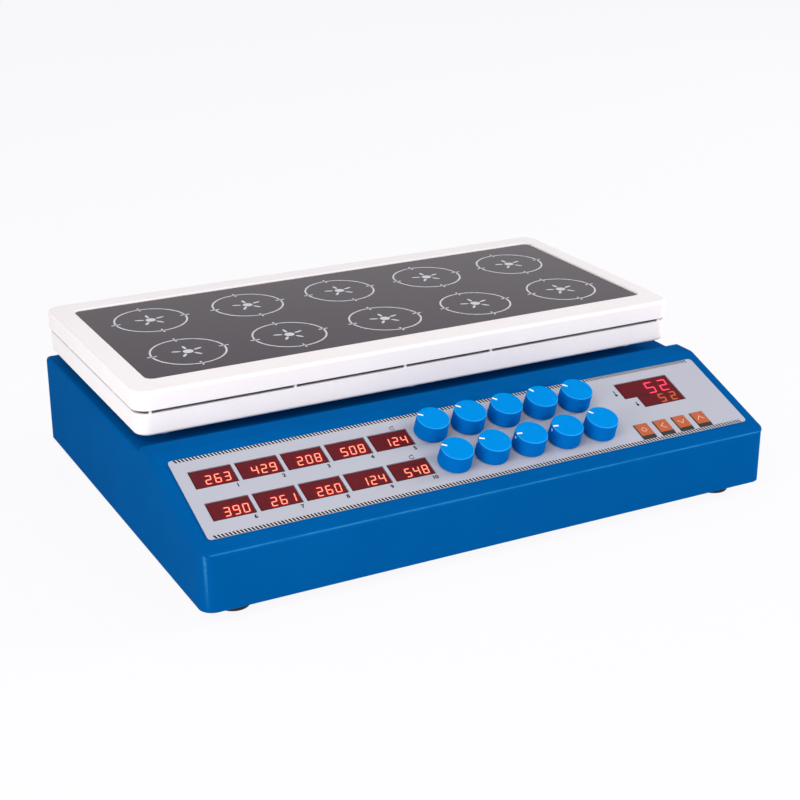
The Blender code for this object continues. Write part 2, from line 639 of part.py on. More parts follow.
def make_keys():
    """Make the keys: caps held in by a flange, with a stem down to their switches."""
    face = PANEL_SEAT + PANEL_THICKNESS + KEY_PROUD
    flange_top = -SHEET - SEAT_GAP
    flange_low = flange_top - KEY_FLANGE
    stem_low = BOARD_TOP + SWITCH_HEIGHT + KEY_TRAVEL + KEY_REST_GAP
    half_width = KEY_WIDTH / 2
    half_height = KEY_HEIGHT / 2
    cap = boxes([((-half_width, -half_height, flange_low), (half_width, half_height, face))])
    flange = boxes([((-half_width - KEY_FLANGE, -half_height - KEY_FLANGE, flange_low),
                     (half_width + KEY_FLANGE, half_height + KEY_FLANGE, flange_top))])
    stem = cylinders([(0.0, 0.0)], KEY_STEM_RADIUS, stem_low, flange_low + KEY_FLANGE / 2, SHAFT_STEPS)
    names = ("key_mode", "key_shift", "key_down", "key_up")
    for name, (x, s) in zip(names, key_places()):
        matrix = on_slope(x, s)
        key = add_piece(name, cap.copy(), ORANGE_PLASTIC, matrix)
        round_edges(key, KEY_EDGE, 1, "ANGLE")
        combine(key, "UNION", "flange", flange, matrix)
        combine(key, "UNION", "stem", stem, matrix)


def make_board():
    """Make the control board with the potentiometers, key switches and standoffs that it carries."""
    width = PANEL_WIDTH - 2 * BOARD_MARGIN
    height = PANEL_HEIGHT - 2 * BOARD_MARGIN
    middle = PANEL_LOWER_MARGIN + PANEL_HEIGHT / 2
    matrix = on_slope(0.0, 0.0, BOARD_TOP - BOARD_THICKNESS)
    outline = rectangle(width, height, 0.0, middle)
    board = add_piece("control_board", flat_solid([outline], BOARD_THICKNESS), BOARD_GREEN, matrix)
    root = BOARD_THICKNESS / 2
    pots = cylinders(knob_places(), POTENTIOMETER_RADIUS, root, BOARD_THICKNESS + POTENTIOMETER_HEIGHT,
                     SHAFT_STEPS)
    combine(board, "UNION", "potentiometers", pots, matrix)
    bore = SPINDLE_RADIUS + SPINDLE_CLEARANCE
    bores = cylinders(knob_places(), bore, BOARD_THICKNESS + SEAT_GAP,
                      BOARD_THICKNESS + POTENTIOMETER_HEIGHT + OVERRUN, SHAFT_STEPS)
    combine(board, "DIFFERENCE", "spindle_bores", bores, matrix)
    half = SWITCH_SIZE / 2
    switches = boxes([((x - half, s - half, root), (x + half, s + half, BOARD_THICKNESS + SWITCH_HEIGHT))
                      for x, s in key_places()])
    combine(board, "UNION", "key_switches", switches, matrix)
    rows = (middle - height / 2 + STANDOFF_INSET, middle + height / 2 - STANDOFF_INSET)
    places = [(share * PANEL_WIDTH, s) for share in STANDOFF_SHARES for s in rows]
    top = BOARD_THICKNESS - BOARD_TOP - SHEET - SEAT_GAP
    combine(board, "UNION", "standoffs", cylinders(places, STANDOFF_RADIUS, root, top, SHAFT_STEPS),
            matrix)


def make_tray():
    """Make the lower tray: a pan on pillars, with pegs under the frame and holes for the shafts."""
    width = FRAME_WIDTH - 2 * TRAY_INSET
    depth = FRAME_DEPTH - 2 * TRAY_INSET
    radius = FRAME_CORNER - TRAY_INSET
    mesh = flat_solid([rounded_rectangle(width, depth, [radius] * 4)], TRAY_HEIGHT)
    matrix = at(FRAME_X, FRAME_Y, TRAY_Z)
    tray = add_piece("lower_tray", mesh, WHITE_ENAMEL, matrix)
    smooth(mesh)
    round_bottom(tray, mesh, 0.0)
    inner = rounded_rectangle(width - 2 * TRAY_WALL, depth - 2 * TRAY_WALL, [radius - TRAY_WALL] * 4)
    combine(tray, "DIFFERENCE", "hollow", flat_solid([inner], TRAY_HEIGHT),
            at(FRAME_X, FRAME_Y, TRAY_Z + TRAY_FLOOR))
    long_side = width / 2 - TRAY_WALL / 2
    short_side = depth / 2 - TRAY_WALL / 2
    pegs = [(share * width, sign * short_side) for share in PEG_SHARES for sign in (-1, 1)]
    pegs += [(sign * long_side, share * depth) for share in SIDE_PEG_SHARES for sign in (-1, 1)]
    peg_top = TRAY_HEIGHT + FRAME_GAP - SEAT_GAP
    combine(tray, "UNION", "pegs",
            cylinders(pegs, PEG_RADIUS, TRAY_HEIGHT - PEG_RADIUS, peg_top, PEG_STEPS), matrix)
    reach_x = width / 2 - PILLAR_INSET
    reach_y = depth / 2 - PILLAR_INSET
    pillars = [(share * reach_x, sign * reach_y) for share in PILLAR_SHARES for sign in (-1, 1)]
    posts = cylinders(pillars, PILLAR_RADIUS, SEAT_GAP - TRAY_CLEARANCE_HEIGHT, TRAY_FLOOR / 2, SHAFT_STEPS)
    combine(tray, "UNION", "pillars", posts, matrix)
    hole = SHAFT_RADIUS + SHAFT_CLEARANCE
    holes = cylinders(stirring_places(), hole, -OVERRUN, TRAY_FLOOR + OVERRUN, SHAFT_STEPS)
    combine(tray, "DIFFERENCE", "shaft_holes", holes, at(0.0, 0.0, TRAY_Z))


def round_bottom(piece, mesh, height):
    """Round the edges of a piece that lie at one height."""
    bm = bmesh.new()
    bm.from_mesh(mesh)
    weight = bm.edges.layers.float.new("bevel_weight_edge")
    for edge in bm.edges:
        if all(abs(vert.co.z - height) < SEAT_GAP for vert in edge.verts):
            edge[weight] = 1.0
    bm.to_mesh(mesh)
    bm.free()
    round_edges(piece, FRAME_EDGE, FRAME_EDGE_STEPS, "WEIGHT")


def make_frame():
    """Make the upper frame, hollow below, with the seat that carries the glass."""
    mesh = flat_solid([rounded_rectangle(FRAME_WIDTH, FRAME_DEPTH, [FRAME_CORNER] * 4)], FRAME_HEIGHT)
    frame = add_piece("upper_frame", mesh, WHITE_ENAMEL, at(FRAME_X, FRAME_Y, FRAME_Z))
    smooth(mesh)
    round_bottom(frame, mesh, FRAME_HEIGHT)
    width = FRAME_WIDTH - 2 * FRAME_SKIN
    depth = FRAME_DEPTH - 2 * FRAME_SKIN
    hollow = rounded_rectangle(width, depth, [FRAME_CORNER - FRAME_SKIN] * 4)
    lip_underside = LIP_TOP - FRAME_SKIN
    combine(frame, "DIFFERENCE", "hollow", flat_solid([hollow], lip_underside - FRAME_Z + OVERRUN),
            at(FRAME_X, FRAME_Y, FRAME_Z - OVERRUN))
    lip_width = GLASS_WIDTH - 2 * GLASS_LIP
    lip_depth = GLASS_DEPTH - 2 * GLASS_LIP
    lip = rounded_rectangle(lip_width, lip_depth, [GLASS_CORNER] * 4)
    combine(frame, "DIFFERENCE", "lip", flat_solid([lip], FRAME_HEIGHT),
            at(GLASS_X, GLASS_Y, FRAME_Z + OVERRUN))
    seat = rounded_rectangle(GLASS_WIDTH + 2 * SEAT_GAP, GLASS_DEPTH + 2 * SEAT_GAP,
                             [GLASS_CORNER + SEAT_GAP] * 4)
    combine(frame, "DIFFERENCE", "seat", flat_solid([seat], FRAME_TOP - LIP_TOP + OVERRUN),
            at(GLASS_X, GLASS_Y, LIP_TOP))
    glass = rounded_rectangle(GLASS_WIDTH, GLASS_DEPTH, [GLASS_CORNER] * 4)
    add_piece("glass_plate", flat_solid([glass], GLASS_THICKNESS), DARK_GLASS,
              at(GLASS_X, GLASS_Y, GLASS_Z))
    heater = rounded_rectangle(lip_width - 2 * SEAT_GAP, lip_depth - 2 * SEAT_GAP, [GLASS_CORNER] * 4)
    add_piece("heater_plate", flat_solid([heater], HEATER_THICKNESS), CAST_ALUMINIUM,
              at(GLASS_X, GLASS_Y, HEATER_Z))


def make_stirrers():
    """Make the motor carrier, the motors under it and the magnet rotors on their shafts."""
    holes = [circle(SHAFT_RADIUS + SHAFT_CLEARANCE, SHAFT_STEPS, x, y) for x, y in stirring_places()]
    width = (PLACE_COLUMN_SHARES[-1] - PLACE_COLUMN_SHARES[0]) * GLASS_WIDTH + 2 * MOTOR_RADIUS
    depth = (PLACE_ROW_SHARES[-1] - PLACE_ROW_SHARES[0]) * GLASS_DEPTH + 2 * MOTOR_RADIUS
    plate = rectangle(width, depth, GLASS_X, GLASS_Y - PLACE_SET_FORWARD)
    add_piece("motor_carrier", flat_solid([plate] + holes, CARRIER_THICKNESS), ZINC,
              at(0.0, 0.0, CARRIER_Z))
    bore = SHAFT_RADIUS + SEAT_GAP
    low = -MOTOR_HEIGHT
    motor_profile = ([(0.0, -MOTOR_BORE_DEPTH), (bore, -MOTOR_BORE_DEPTH), (bore, 0.0), (MOTOR_RADIUS, 0.0)]
                     + arc(MOTOR_RADIUS - MOTOR_EDGE, low + MOTOR_EDGE, MOTOR_EDGE, 0.0, -math.pi / 2,
                           EDGE_STEPS)
                     + [(MOTOR_BOSS_RADIUS, low), (MOTOR_BOSS_RADIUS, low - MOTOR_BOSS_HEIGHT),
                        (0.0, low - MOTOR_BOSS_HEIGHT)])
    disc_top = MAGNET_TOP - MAGNET_HEIGHT
    disc_low = disc_top - ROTOR_DISC
    shaft_low = MOTOR_TOP - MOTOR_BORE_DEPTH + SEAT_GAP
    rotor_profile = [(0.0, disc_top), (ROTOR_RADIUS, disc_top), (ROTOR_RADIUS, disc_low),
                     (ROTOR_HUB_RADIUS, disc_low), (ROTOR_HUB_RADIUS, disc_low - ROTOR_HUB_HEIGHT),
                     (SHAFT_RADIUS, disc_low - ROTOR_HUB_HEIGHT), (SHAFT_RADIUS, shaft_low),
                     (0.0, shaft_low)]
    magnets = [(-MAGNET_OFFSET, 0.0), (MAGNET_OFFSET, 0.0)]
    for index, (x, y) in enumerate(stirring_places()):
        add_piece(f"stir_motor_{index + 1:02d}", turned(motor_profile, MOTOR_STEPS), ZINC,
                  at(x, y, MOTOR_TOP))
        rotor = add_piece(f"magnet_rotor_{index + 1:02d}", turned(rotor_profile, ROTOR_STEPS),
                          MAGNET_NICKEL, at(x, y, 0.0))
        combine(rotor, "UNION", "magnets",
                cylinders(magnets, MAGNET_RADIUS, disc_top - ROTOR_DISC / 2, MAGNET_TOP, MAGNET_STEPS),
                at(x, y, 0.0))


def rear_place(x, z, depth):
    """Return the matrix of a place on the rear, depth behind the module's face.

    The local X and Y axes are the world's X and Z axes, and the local Z axis points into the
    machine's front.
    """
    face = REAR_Y + REAR_TRIM_PROUD
    return at(x, face - depth, z) @ Matrix.Rotation(math.pi / 2, 4, "X")


def make_power_module():
    """Make the power module with its socket and pins, and the rocker of its switch."""
    z = HOUSING_BASE + MODULE_Z
    thickness = REAR_TRIM_PROUD - SEAT_GAP
    width = MODULE_BODY_WIDTH + 2 * MODULE_FLANGE
    height = MODULE_BODY_HEIGHT + 2 * MODULE_FLANGE
    flange = rounded_rectangle(width, height, [MODULE_FLANGE] * 4, steps=EDGE_STEPS)
    module = add_piece("power_module", flat_solid([flange], thickness), BLACK_PLASTIC,
                       rear_place(MODULE_X, z, 0.0))
    body = rectangle(MODULE_BODY_WIDTH, MODULE_BODY_HEIGHT)
    combine(module, "UNION", "body", flat_solid([body], MODULE_BODY_DEPTH - thickness / 2),
            rear_place(MODULE_X, z, thickness / 2))
    half_width = SOCKET_WIDTH / 2
    half_height = SOCKET_HEIGHT / 2
    socket = [(-half_width, -half_height), (half_width, -half_height),
              (half_width, half_height - SOCKET_CHAMFER), (half_width - SOCKET_CHAMFER, half_height),
              (SOCKET_CHAMFER - half_width, half_height), (-half_width, half_height - SOCKET_CHAMFER)]
    combine(module, "DIFFERENCE", "socket", flat_solid([socket], SOCKET_DEPTH + OVERRUN),
            rear_place(SOCKET_X, z, -OVERRUN))
    pins = [rectangle(PIN_THICKNESS, PIN_BREADTH, sign * PIN_SPACING, -PIN_OFFSET) for sign in (-1, 1)]
    pins.append(rectangle(PIN_THICKNESS, PIN_BREADTH, 0.0, PIN_OFFSET))
    combine(module, "UNION", "pins", flat_solid(pins, PIN_LENGTH + OVERRUN),
            rear_place(SOCKET_X, z, SOCKET_DEPTH - PIN_LENGTH))
    pocket_depth = ROCKER_PIVOT_DEPTH + ROCKER_BELLY + ROCKER_CLEARANCE
    pocket = rectangle(2 * (ROCKER_HALF_LENGTH + ROCKER_CLEARANCE), ROCKER_WIDTH + 2 * SEAT_GAP)
    combine(module, "DIFFERENCE", "pocket", flat_solid([pocket], pocket_depth + OVERRUN),
            rear_place(ROCKER_X, z, -OVERRUN))
    outline = [(ROCKER_HALF_LENGTH, ROCKER_END), (0.0, ROCKER_MIDDLE), (-ROCKER_HALF_LENGTH, ROCKER_END),
               (-ROCKER_HALF_LENGTH, -ROCKER_SIDE)]
    outline += arc(0.0, 0.0, ROCKER_BELLY, ROCKER_ARC_START, ROCKER_ARC_SWEEP, ROCKER_ARC_STEPS)
    outline.append((ROCKER_HALF_LENGTH, -ROCKER_SIDE))
    pivot = at(ROCKER_X, REAR_Y + REAR_TRIM_PROUD - ROCKER_PIVOT_DEPTH, z)
    tilt = Matrix.Rotation(ROCKER_TILT, 4, "Z")
    add_piece("power_rocker", flat_solid([outline], ROCKER_WIDTH), BLACK_PLASTIC,
              pivot @ tilt @ at(0.0, 0.0, -ROCKER_WIDTH / 2))


clear_scene()
MODEL = make_collection("hotplate_stirrer")
SHAPES = make_collection("cutting_and_joining_shapes")
make_housing()
make_base()
make_panel()
make_knobs()
make_keys()
make_board()
make_tray()
make_frame()
make_stirrers()
make_power_module()
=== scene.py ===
"""Looks of a ten-place hotplate stirrer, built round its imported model.

Every piece is made at its own place in the machine's frame: metres, +X to the operator's right, +Y to
the rear wall and +Z up, with the origin on the bench under the machine's middle. Places on the sloping
panel are given as x across it, s up it from its lower fold and n out of it.
"""
import json
import logging
import math
from collections.abc import Iterable, Sequence
from dataclasses import dataclass, field
from enum import Enum
from typing import ClassVar

import bmesh
import bpy
from mathutils import Matrix, Vector

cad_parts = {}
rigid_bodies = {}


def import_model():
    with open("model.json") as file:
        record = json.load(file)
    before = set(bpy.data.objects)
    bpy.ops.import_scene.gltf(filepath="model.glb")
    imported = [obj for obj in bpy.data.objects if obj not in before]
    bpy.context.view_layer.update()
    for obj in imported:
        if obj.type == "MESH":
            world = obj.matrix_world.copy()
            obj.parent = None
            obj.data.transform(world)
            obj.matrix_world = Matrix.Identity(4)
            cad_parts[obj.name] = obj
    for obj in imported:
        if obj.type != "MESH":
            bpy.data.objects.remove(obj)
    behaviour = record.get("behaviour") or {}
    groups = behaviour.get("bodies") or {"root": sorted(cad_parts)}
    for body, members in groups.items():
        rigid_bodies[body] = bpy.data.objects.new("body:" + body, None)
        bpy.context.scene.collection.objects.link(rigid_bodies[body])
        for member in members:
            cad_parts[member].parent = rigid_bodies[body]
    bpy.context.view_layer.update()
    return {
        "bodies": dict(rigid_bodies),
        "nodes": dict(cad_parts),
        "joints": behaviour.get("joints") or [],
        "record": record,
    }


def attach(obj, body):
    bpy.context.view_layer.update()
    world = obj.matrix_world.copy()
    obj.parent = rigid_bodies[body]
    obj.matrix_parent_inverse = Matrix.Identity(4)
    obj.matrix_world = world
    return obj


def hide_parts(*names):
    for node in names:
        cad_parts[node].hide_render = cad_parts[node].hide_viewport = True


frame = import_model()
LOG = logging.getLogger("hotplate_stirrer")

Point = tuple[float, float]
Outline = list[Point]
Colour = tuple[float, float, float]
HOUSING_BODY = "housing"
MERGE_DISTANCE = 0.000001    # points nearer than this become one
OVERRUN = 0.001              # how far a cutting shape passes the face that it cuts
SHAFT_HOLE_RADIUS = 0.0037   # holes for the rotors' shafts
HOLE_SIDES = 24
FLOAT, VECTOR, COLOUR = "NodeSocketFloat", "NodeSocketVector", "NodeSocketColor"
GEOMETRY, INTEGER, MATERIAL = "NodeSocketGeometry", "NodeSocketInt", "NodeSocketMaterial"


# Node trees
class Graph:
    """A node tree with short calls that add and link its nodes."""

    def __init__(self, tree: bpy.types.NodeTree) -> None:
        """Keep the tree that is built.

        Args:
            tree: A material's, world's or group's node tree.
        """
        self.tree = tree

    def add(self, kind: str, sockets: dict[object, object] | None = None,
            **settings: object) -> bpy.types.Node:
        """Add one node.

        Args:
            kind: Blender's name of the node's type.
            sockets: A value or another node's output for each named or numbered input.
            settings: Properties of the node.

        Returns:
            The new node.
        """
        node = self.tree.nodes.new(kind)
        for name, value in settings.items():
            setattr(node, name, value)
        for name, value in (sockets or {}).items():
            if isinstance(value, bpy.types.NodeSocket):
                self.link(value, node.inputs[name])
            else:
                node.inputs[name].default_value = value
        return node

    def link(self, value: bpy.types.NodeSocket, target: bpy.types.NodeSocket) -> None:
        """Link an output to an input."""
        self.tree.links.new(value, target)

    def math(self, operation: str, first: object, second: object = 0.0) -> bpy.types.NodeSocket:
        """Add a Math node and return its output."""
        return self.add("ShaderNodeMath", {0: first, 1: second}, operation=operation).outputs[0]

    def vector(self, x: object, y: object, z: object) -> bpy.types.NodeSocket:
        """Join three values to a vector and return it."""
        return self.add("ShaderNodeCombineXYZ", {0: x, 1: y, 2: z}).outputs[0]

    def ramp(self, value: object, low: float, high: float, to_low: object,
             to_high: object) -> bpy.types.NodeSocket:
        """Map a value from one range to another, clamped, and return the output."""
        sockets = {"Value": value, "From Min": low, "From Max": high, "To Min": to_low, "To Max": to_high}
        return self.add("ShaderNodeMapRange", sockets).outputs["Result"]

    def mix(self, factor: object, first: object, second: object, blend: str = "MIX") -> bpy.types.NodeSocket:
        """Mix two colours and return the output."""
        sockets = {0: factor, 6: first, 7: second}
        return self.add("ShaderNodeMix", sockets, data_type="RGBA", blend_type=blend).outputs[2]

    def noise(self, vector: object, scale: object, detail: float, roughness: object) -> bpy.types.NodeSocket:
        """Add a Noise texture and return its value."""
        sockets = {"Vector": vector, "Scale": scale, "Detail": detail, "Roughness": roughness}
        return self.add("ShaderNodeTexNoise", sockets).outputs["Fac"]

    def bump(self, height: object, distance: float) -> bpy.types.NodeSocket:
        """Add a Bump node and return its normal."""
        sockets = {"Height": height, "Strength": 1.0, "Distance": distance}
        return self.add("ShaderNodeBump", sockets).outputs["Normal"]

    def attribute(self, name: str) -> bpy.types.NodeSocket:
        """Return the value of a mesh's own attribute."""
        return self.add("ShaderNodeAttribute", attribute_name=name).outputs["Fac"]

    def instances(self, points: object, shape: object, **sockets: object) -> bpy.types.NodeSocket:
        """Put a shape on each point and return the instances."""
        given = {"Points": points, "Instance": shape, **sockets}
        return self.add("GeometryNodeInstanceOnPoints", given).outputs[0]


def make_group(name: str, kind: str, inputs: Sequence[tuple[str, str, object]],
               outputs: Sequence[tuple[str, str]]) -> tuple[Graph, bpy.types.Node, bpy.types.Node]:
    """Start a node group with named inputs and outputs.

    Args:
        name: The group's name.
        kind: ShaderNodeTree or GeometryNodeTree.
        inputs: Name, socket type and default of each input.
        outputs: Name and socket type of each output.

    Returns:
        The graph, the input node and the output node.
    """
    tree = bpy.data.node_groups.new(name, kind)
    for label, socket, default in inputs:
        item = tree.interface.new_socket(label, in_out="INPUT", socket_type=socket)
        if default is not None:
            item.default_value = default
    for label, socket in outputs:
        tree.interface.new_socket(label, in_out="OUTPUT", socket_type=socket)
    graph = Graph(tree)
    return graph, graph.add("NodeGroupInput"), graph.add("NodeGroupOutput")


def grain_group() -> bpy.types.NodeTree:
    """Build the group for a surface's fine grain: a height for its bump and a mask for its gloss."""
    inputs = [("Vector", VECTOR, None), ("Scale", FLOAT, 900.0), ("Evenness", FLOAT, 0.5)]
    outputs = [("Height", FLOAT), ("Mask", FLOAT)]
    graph, start, end = make_group("surface_grain", "ShaderNodeTree", inputs, outputs)
    vector, scale, evenness = start.outputs[:3]
    broad = graph.noise(vector, graph.math("MULTIPLY", scale, 0.045), 4.0, 0.6)
    graph.link(graph.noise(vector, scale, 3.0, evenness), end.inputs["Height"])
    graph.link(graph.ramp(broad, 0.32, 0.68, 0.0, 1.0), end.inputs["Mask"])
    return graph.tree


def mottle_group() -> bpy.types.NodeTree:
    """Build the group that varies a colour a little over a surface, lighter and darker."""
    inputs = [("Vector", VECTOR, None), ("Colour", COLOUR, (0.5, 0.5, 0.5, 1.0)), ("Scale", FLOAT, 30.0),
              ("Amount", FLOAT, 0.04)]
    graph, start, end = make_group("colour_mottle", "ShaderNodeTree", inputs, [("Colour", COLOUR)])
    vector, colour, scale, amount = start.outputs[:4]
    level = graph.ramp(graph.noise(vector, scale, 5.0, 0.55), 0.3, 0.7,
                       graph.math("SUBTRACT", 1.0, amount), graph.math("ADD", 1.0, amount))
    tint = graph.add("ShaderNodeCombineColor", {0: level, 1: level, 2: level}).outputs[0]
    graph.link(graph.mix(1.0, colour, tint, "MULTIPLY"), end.inputs["Colour"])
    return graph.tree


def hairline_group() -> bpy.types.NodeTree:
    """Build the group for fine scratches or brushing along one way: a height and a mask."""
    inputs = [("Vector", VECTOR, None), ("Stretch", VECTOR, (1.0, 1.0, 1.0)), ("Threshold", FLOAT, 0.6)]
    outputs = [("Height", FLOAT), ("Mask", FLOAT)]
    graph, start, end = make_group("hairlines", "ShaderNodeTree", inputs, outputs)
    vector, stretch, threshold = start.outputs[:3]
    stretched = graph.add("ShaderNodeVectorMath", {0: vector, 1: stretch}, operation="MULTIPLY").outputs[0]
    lines = graph.noise(stretched, 1.0, 4.0, 0.65)
    over = graph.math("SUBTRACT", lines, threshold)
    graph.link(lines, end.inputs["Height"])
    graph.link(graph.ramp(over, 0.0, 0.12, 0.0, 1.0), end.inputs["Mask"])
    return graph.tree


class Effect(Enum):
    """The shared effects, each a node group that is built once."""

    GRAIN = "surface_grain"
    MOTTLE = "colour_mottle"
    HAIRLINES = "hairlines"

    def tree(self) -> bpy.types.NodeTree:
        """Return the effect's group, built on first use."""
        builders = {Effect.GRAIN: grain_group, Effect.MOTTLE: mottle_group, Effect.HAIRLINES: hairline_group}
        return bpy.data.node_groups.get(self.value) or builders[self]()


# Finishes
@dataclass(frozen=True)
class Finish:
    """A plain moulded or painted surface with a fine grain and a little mottle."""

    name: str
    slot: str
    colour: Colour
    roughness: float = 0.4
    metallic: float = 0.0
    grain: float = 900.0         # the noise's scale
    bump: float = 0.00002        # the grain's depth
    gloss_change: float = 0.06   # roughness from its lightest to its dullest places
    mottle: float = 0.03
    mottle_scale: float = 25.0
    coat: float = 0.0
    coat_roughness: float = 0.07
    specular: float = 0.5

    def material(self) -> bpy.types.Material:
        """Return the finish's material, built on first use."""
        made = bpy.data.materials.get(self.name)
        if made is None:
            made = bpy.data.materials.new(self.name)
            made.use_nodes = True
            made.node_tree.nodes.clear()
            graph = Graph(made.node_tree)
            shader = graph.add("ShaderNodeBsdfPrincipled")
            self.dress(graph, shader)
            graph.add("ShaderNodeOutputMaterial", {"Surface": shader.outputs[0]})
        return made

    def place(self, graph: Graph) -> bpy.types.NodeSocket:
        """Return the object coordinates."""
        return graph.add("ShaderNodeTexCoord").outputs["Object"]

    def effect(self, graph: Graph, effect: Effect, sockets: dict[object, object]) -> bpy.types.Node:
        """Add a shared effect's group to the material and return its node."""
        return graph.add("ShaderNodeGroup", sockets, node_tree=effect.tree())

    def hairlines(self, graph: Graph, vector: bpy.types.NodeSocket, stretch: tuple[float, float, float],
                  threshold: float) -> bpy.types.Node:
        """Add the group of the hairlines and return its node."""
        sockets = {"Vector": vector, "Stretch": stretch, "Threshold": threshold}
        return self.effect(graph, Effect.HAIRLINES, sockets)

    def surface(self, graph: Graph, shader: bpy.types.Node, vector: bpy.types.NodeSocket,
                colour: object) -> None:
        """Set the values that all finishes share.

        Args:
            graph: The material's graph.
            shader: Its Principled node.
            vector: The coordinates that the effects read.
            colour: The colour before its mottle.
        """
        mottled = self.effect(graph, Effect.MOTTLE, {"Vector": vector, "Colour": colour,
                                                     "Scale": self.mottle_scale, "Amount": self.mottle})
        grain = self.effect(graph, Effect.GRAIN, {"Vector": vector, "Scale": self.grain})
        low, high = self.roughness - self.gloss_change / 2, self.roughness + self.gloss_change / 2
        graph.link(mottled.outputs["Colour"], shader.inputs["Base Color"])
        graph.link(graph.ramp(grain.outputs["Mask"], 0.0, 1.0, low, high), shader.inputs["Roughness"])
        graph.link(graph.bump(grain.outputs["Height"], self.bump), shader.inputs["Normal"])
        for name, value in (("Metallic", self.metallic), ("Coat Weight", self.coat),
                            ("Coat Roughness", self.coat_roughness), ("Specular IOR Level", self.specular)):
            shader.inputs[name].default_value = value

    def dress(self, graph: Graph, shader: bpy.types.Node) -> None:
        """Set the material's values and links."""
        self.surface(graph, shader, self.place(graph), (*self.colour, 1.0))


@dataclass(frozen=True)
class BrushedFinish(Finish):
    """A metal or film whose brushing runs one way."""

    stretch: tuple[float, float, float] = (40.0, 3000.0, 3000.0)
    brushing: float = 0.12       # colour change along the brushing

    def dress(self, graph: Graph, shader: bpy.types.Node) -> None:
        """Set the material's values and links."""
        vector = self.place(graph)
        lines = self.hairlines(graph, vector, self.stretch, 0.5)
        darker = tuple(channel * (1.0 - self.brushing) for channel in self.colour)
        brushed = graph.mix(lines.outputs["Mask"], (*self.colour, 1.0), (*darker, 1.0))
        self.surface(graph, shader, vector, brushed)
        graph.link(graph.bump(lines.outputs["Height"], self.bump), shader.inputs["Normal"])


@dataclass(frozen=True)
class PaintFinish(Finish):
    """Powder coat over sheet: orange peel, a few faint rub marks, a light coat of gloss and a painted
    highlight on marked folds.
    """

    rub_colour: Colour = (0.5, 0.5, 0.5)
    rub_share: float = 0.12
    highlight_colour: Colour = (0.5, 0.5, 0.5)
    highlight_share: float = 0.55     # how strongly the painted highlight tints the marked folds
    rub_stretch: tuple[float, float, float] = (55.0, 420.0, 420.0)

    def dress(self, graph: Graph, shader: bpy.types.Node) -> None:
        """Set the material's values and links."""
        vector = self.place(graph)
        marks = self.hairlines(graph, vector, self.rub_stretch, 0.66)
        share = graph.math("MULTIPLY", marks.outputs["Mask"], self.rub_share)
        rubbed = graph.mix(share, (*self.colour, 1.0), (*self.rub_colour, 1.0))
        # painted highlight along the folds, its strength varied by the rub marks' noise
        highlight_strength = graph.ramp(marks.outputs["Height"], 0.35, 0.6, 0.4 * self.highlight_share, self.highlight_share)
        share = graph.math("MULTIPLY", graph.attribute("edge"), highlight_strength)
        highlighted = graph.mix(share, rubbed, (*self.highlight_colour, 1.0))
        self.surface(graph, shader, vector, highlighted)


@dataclass(frozen=True)
class KnobFinish(Finish):
    """Moulded plastic, finely grained, with a painted highlight on its rounded edge and its side wall darker
    than its face as painted shade.
    """

    # the side wall's deeper blue is painted shade
    side_shade_colour: Colour = (0.0003, 0.136, 0.480)
    highlight_colour: Colour = (0.06, 0.48, 0.98)
    highlight_share: float = 0.42     # how strongly the painted highlight tints the rounded edge

    def dress(self, graph: Graph, shader: bpy.types.Node) -> None:
        """Set the material's values and links."""
        side = graph.attribute("side")
        # painted shade: the side wall darker than the face
        shaded = graph.mix(side, (*self.colour, 1.0), (*self.side_shade_colour, 1.0))
        # painted highlight across the rounded edge
        rise = graph.ramp(side, 0.06, 0.30, 0.0, self.highlight_share)
        fall = graph.ramp(side, 0.40, 0.75, 1.0, 0.0)
        highlighted = graph.mix(graph.math("MULTIPLY", rise, fall), shaded, (*self.highlight_colour, 1.0))
        self.surface(graph, shader, self.place(graph), highlighted)


@dataclass(frozen=True)
class GlassFinish(Finish):
    """Dark polished glass-ceramic with a fine speckle in its body."""

    speckle: Colour = (0.035, 0.028, 0.034)
    speckle_share: float = 0.35
    speckle_scale: float = 1400.0
    wipe_stretch: tuple[float, float, float] = (18.0, 90.0, 18.0)
    mirror_tint: Colour = (1.0, 0.945, 1.0)

    def dress(self, graph: Graph, shader: bpy.types.Node) -> None:
        """Set the material's values and links."""
        shader.inputs["Specular Tint"].default_value = (*self.mirror_tint, 1.0)
        vector = self.place(graph)
        dots = graph.add("ShaderNodeTexVoronoi", {"Vector": vector, "Scale": self.speckle_scale})
        near = graph.ramp(dots.outputs["Distance"], 0.05, 0.3, 1.0, 0.0)
        share = graph.math("MULTIPLY", near, self.speckle_share)
        self.surface(graph, shader, vector, graph.mix(share, (*self.colour, 1.0), (*self.speckle, 1.0)))
        wipes = self.hairlines(graph, vector, self.wipe_stretch, 0.5).outputs["Mask"]
        rough = graph.ramp(wipes, 0.0, 1.0, self.roughness, self.roughness + self.gloss_change)
        graph.link(rough, shader.inputs["Roughness"])


@dataclass(frozen=True)
class WindowFinish(Finish):
    """A clear red window over a dark display, lit from inside near its digits."""

    glow_colour: Colour = (1.0, 0.05, 0.03)
    glow_strength: float = 0.30

    def dress(self, graph: Graph, shader: bpy.types.Node) -> None:
        """Set the material's values and links."""
        self.surface(graph, shader, self.place(graph), (*self.colour, 1.0))
        glow = graph.mix(graph.attribute("glow"), (0.0, 0.0, 0.0, 1.0), (*self.glow_colour, 1.0))
        graph.link(glow, shader.inputs["Emission Color"])
        shader.inputs["Emission Strength"].default_value = self.glow_strength


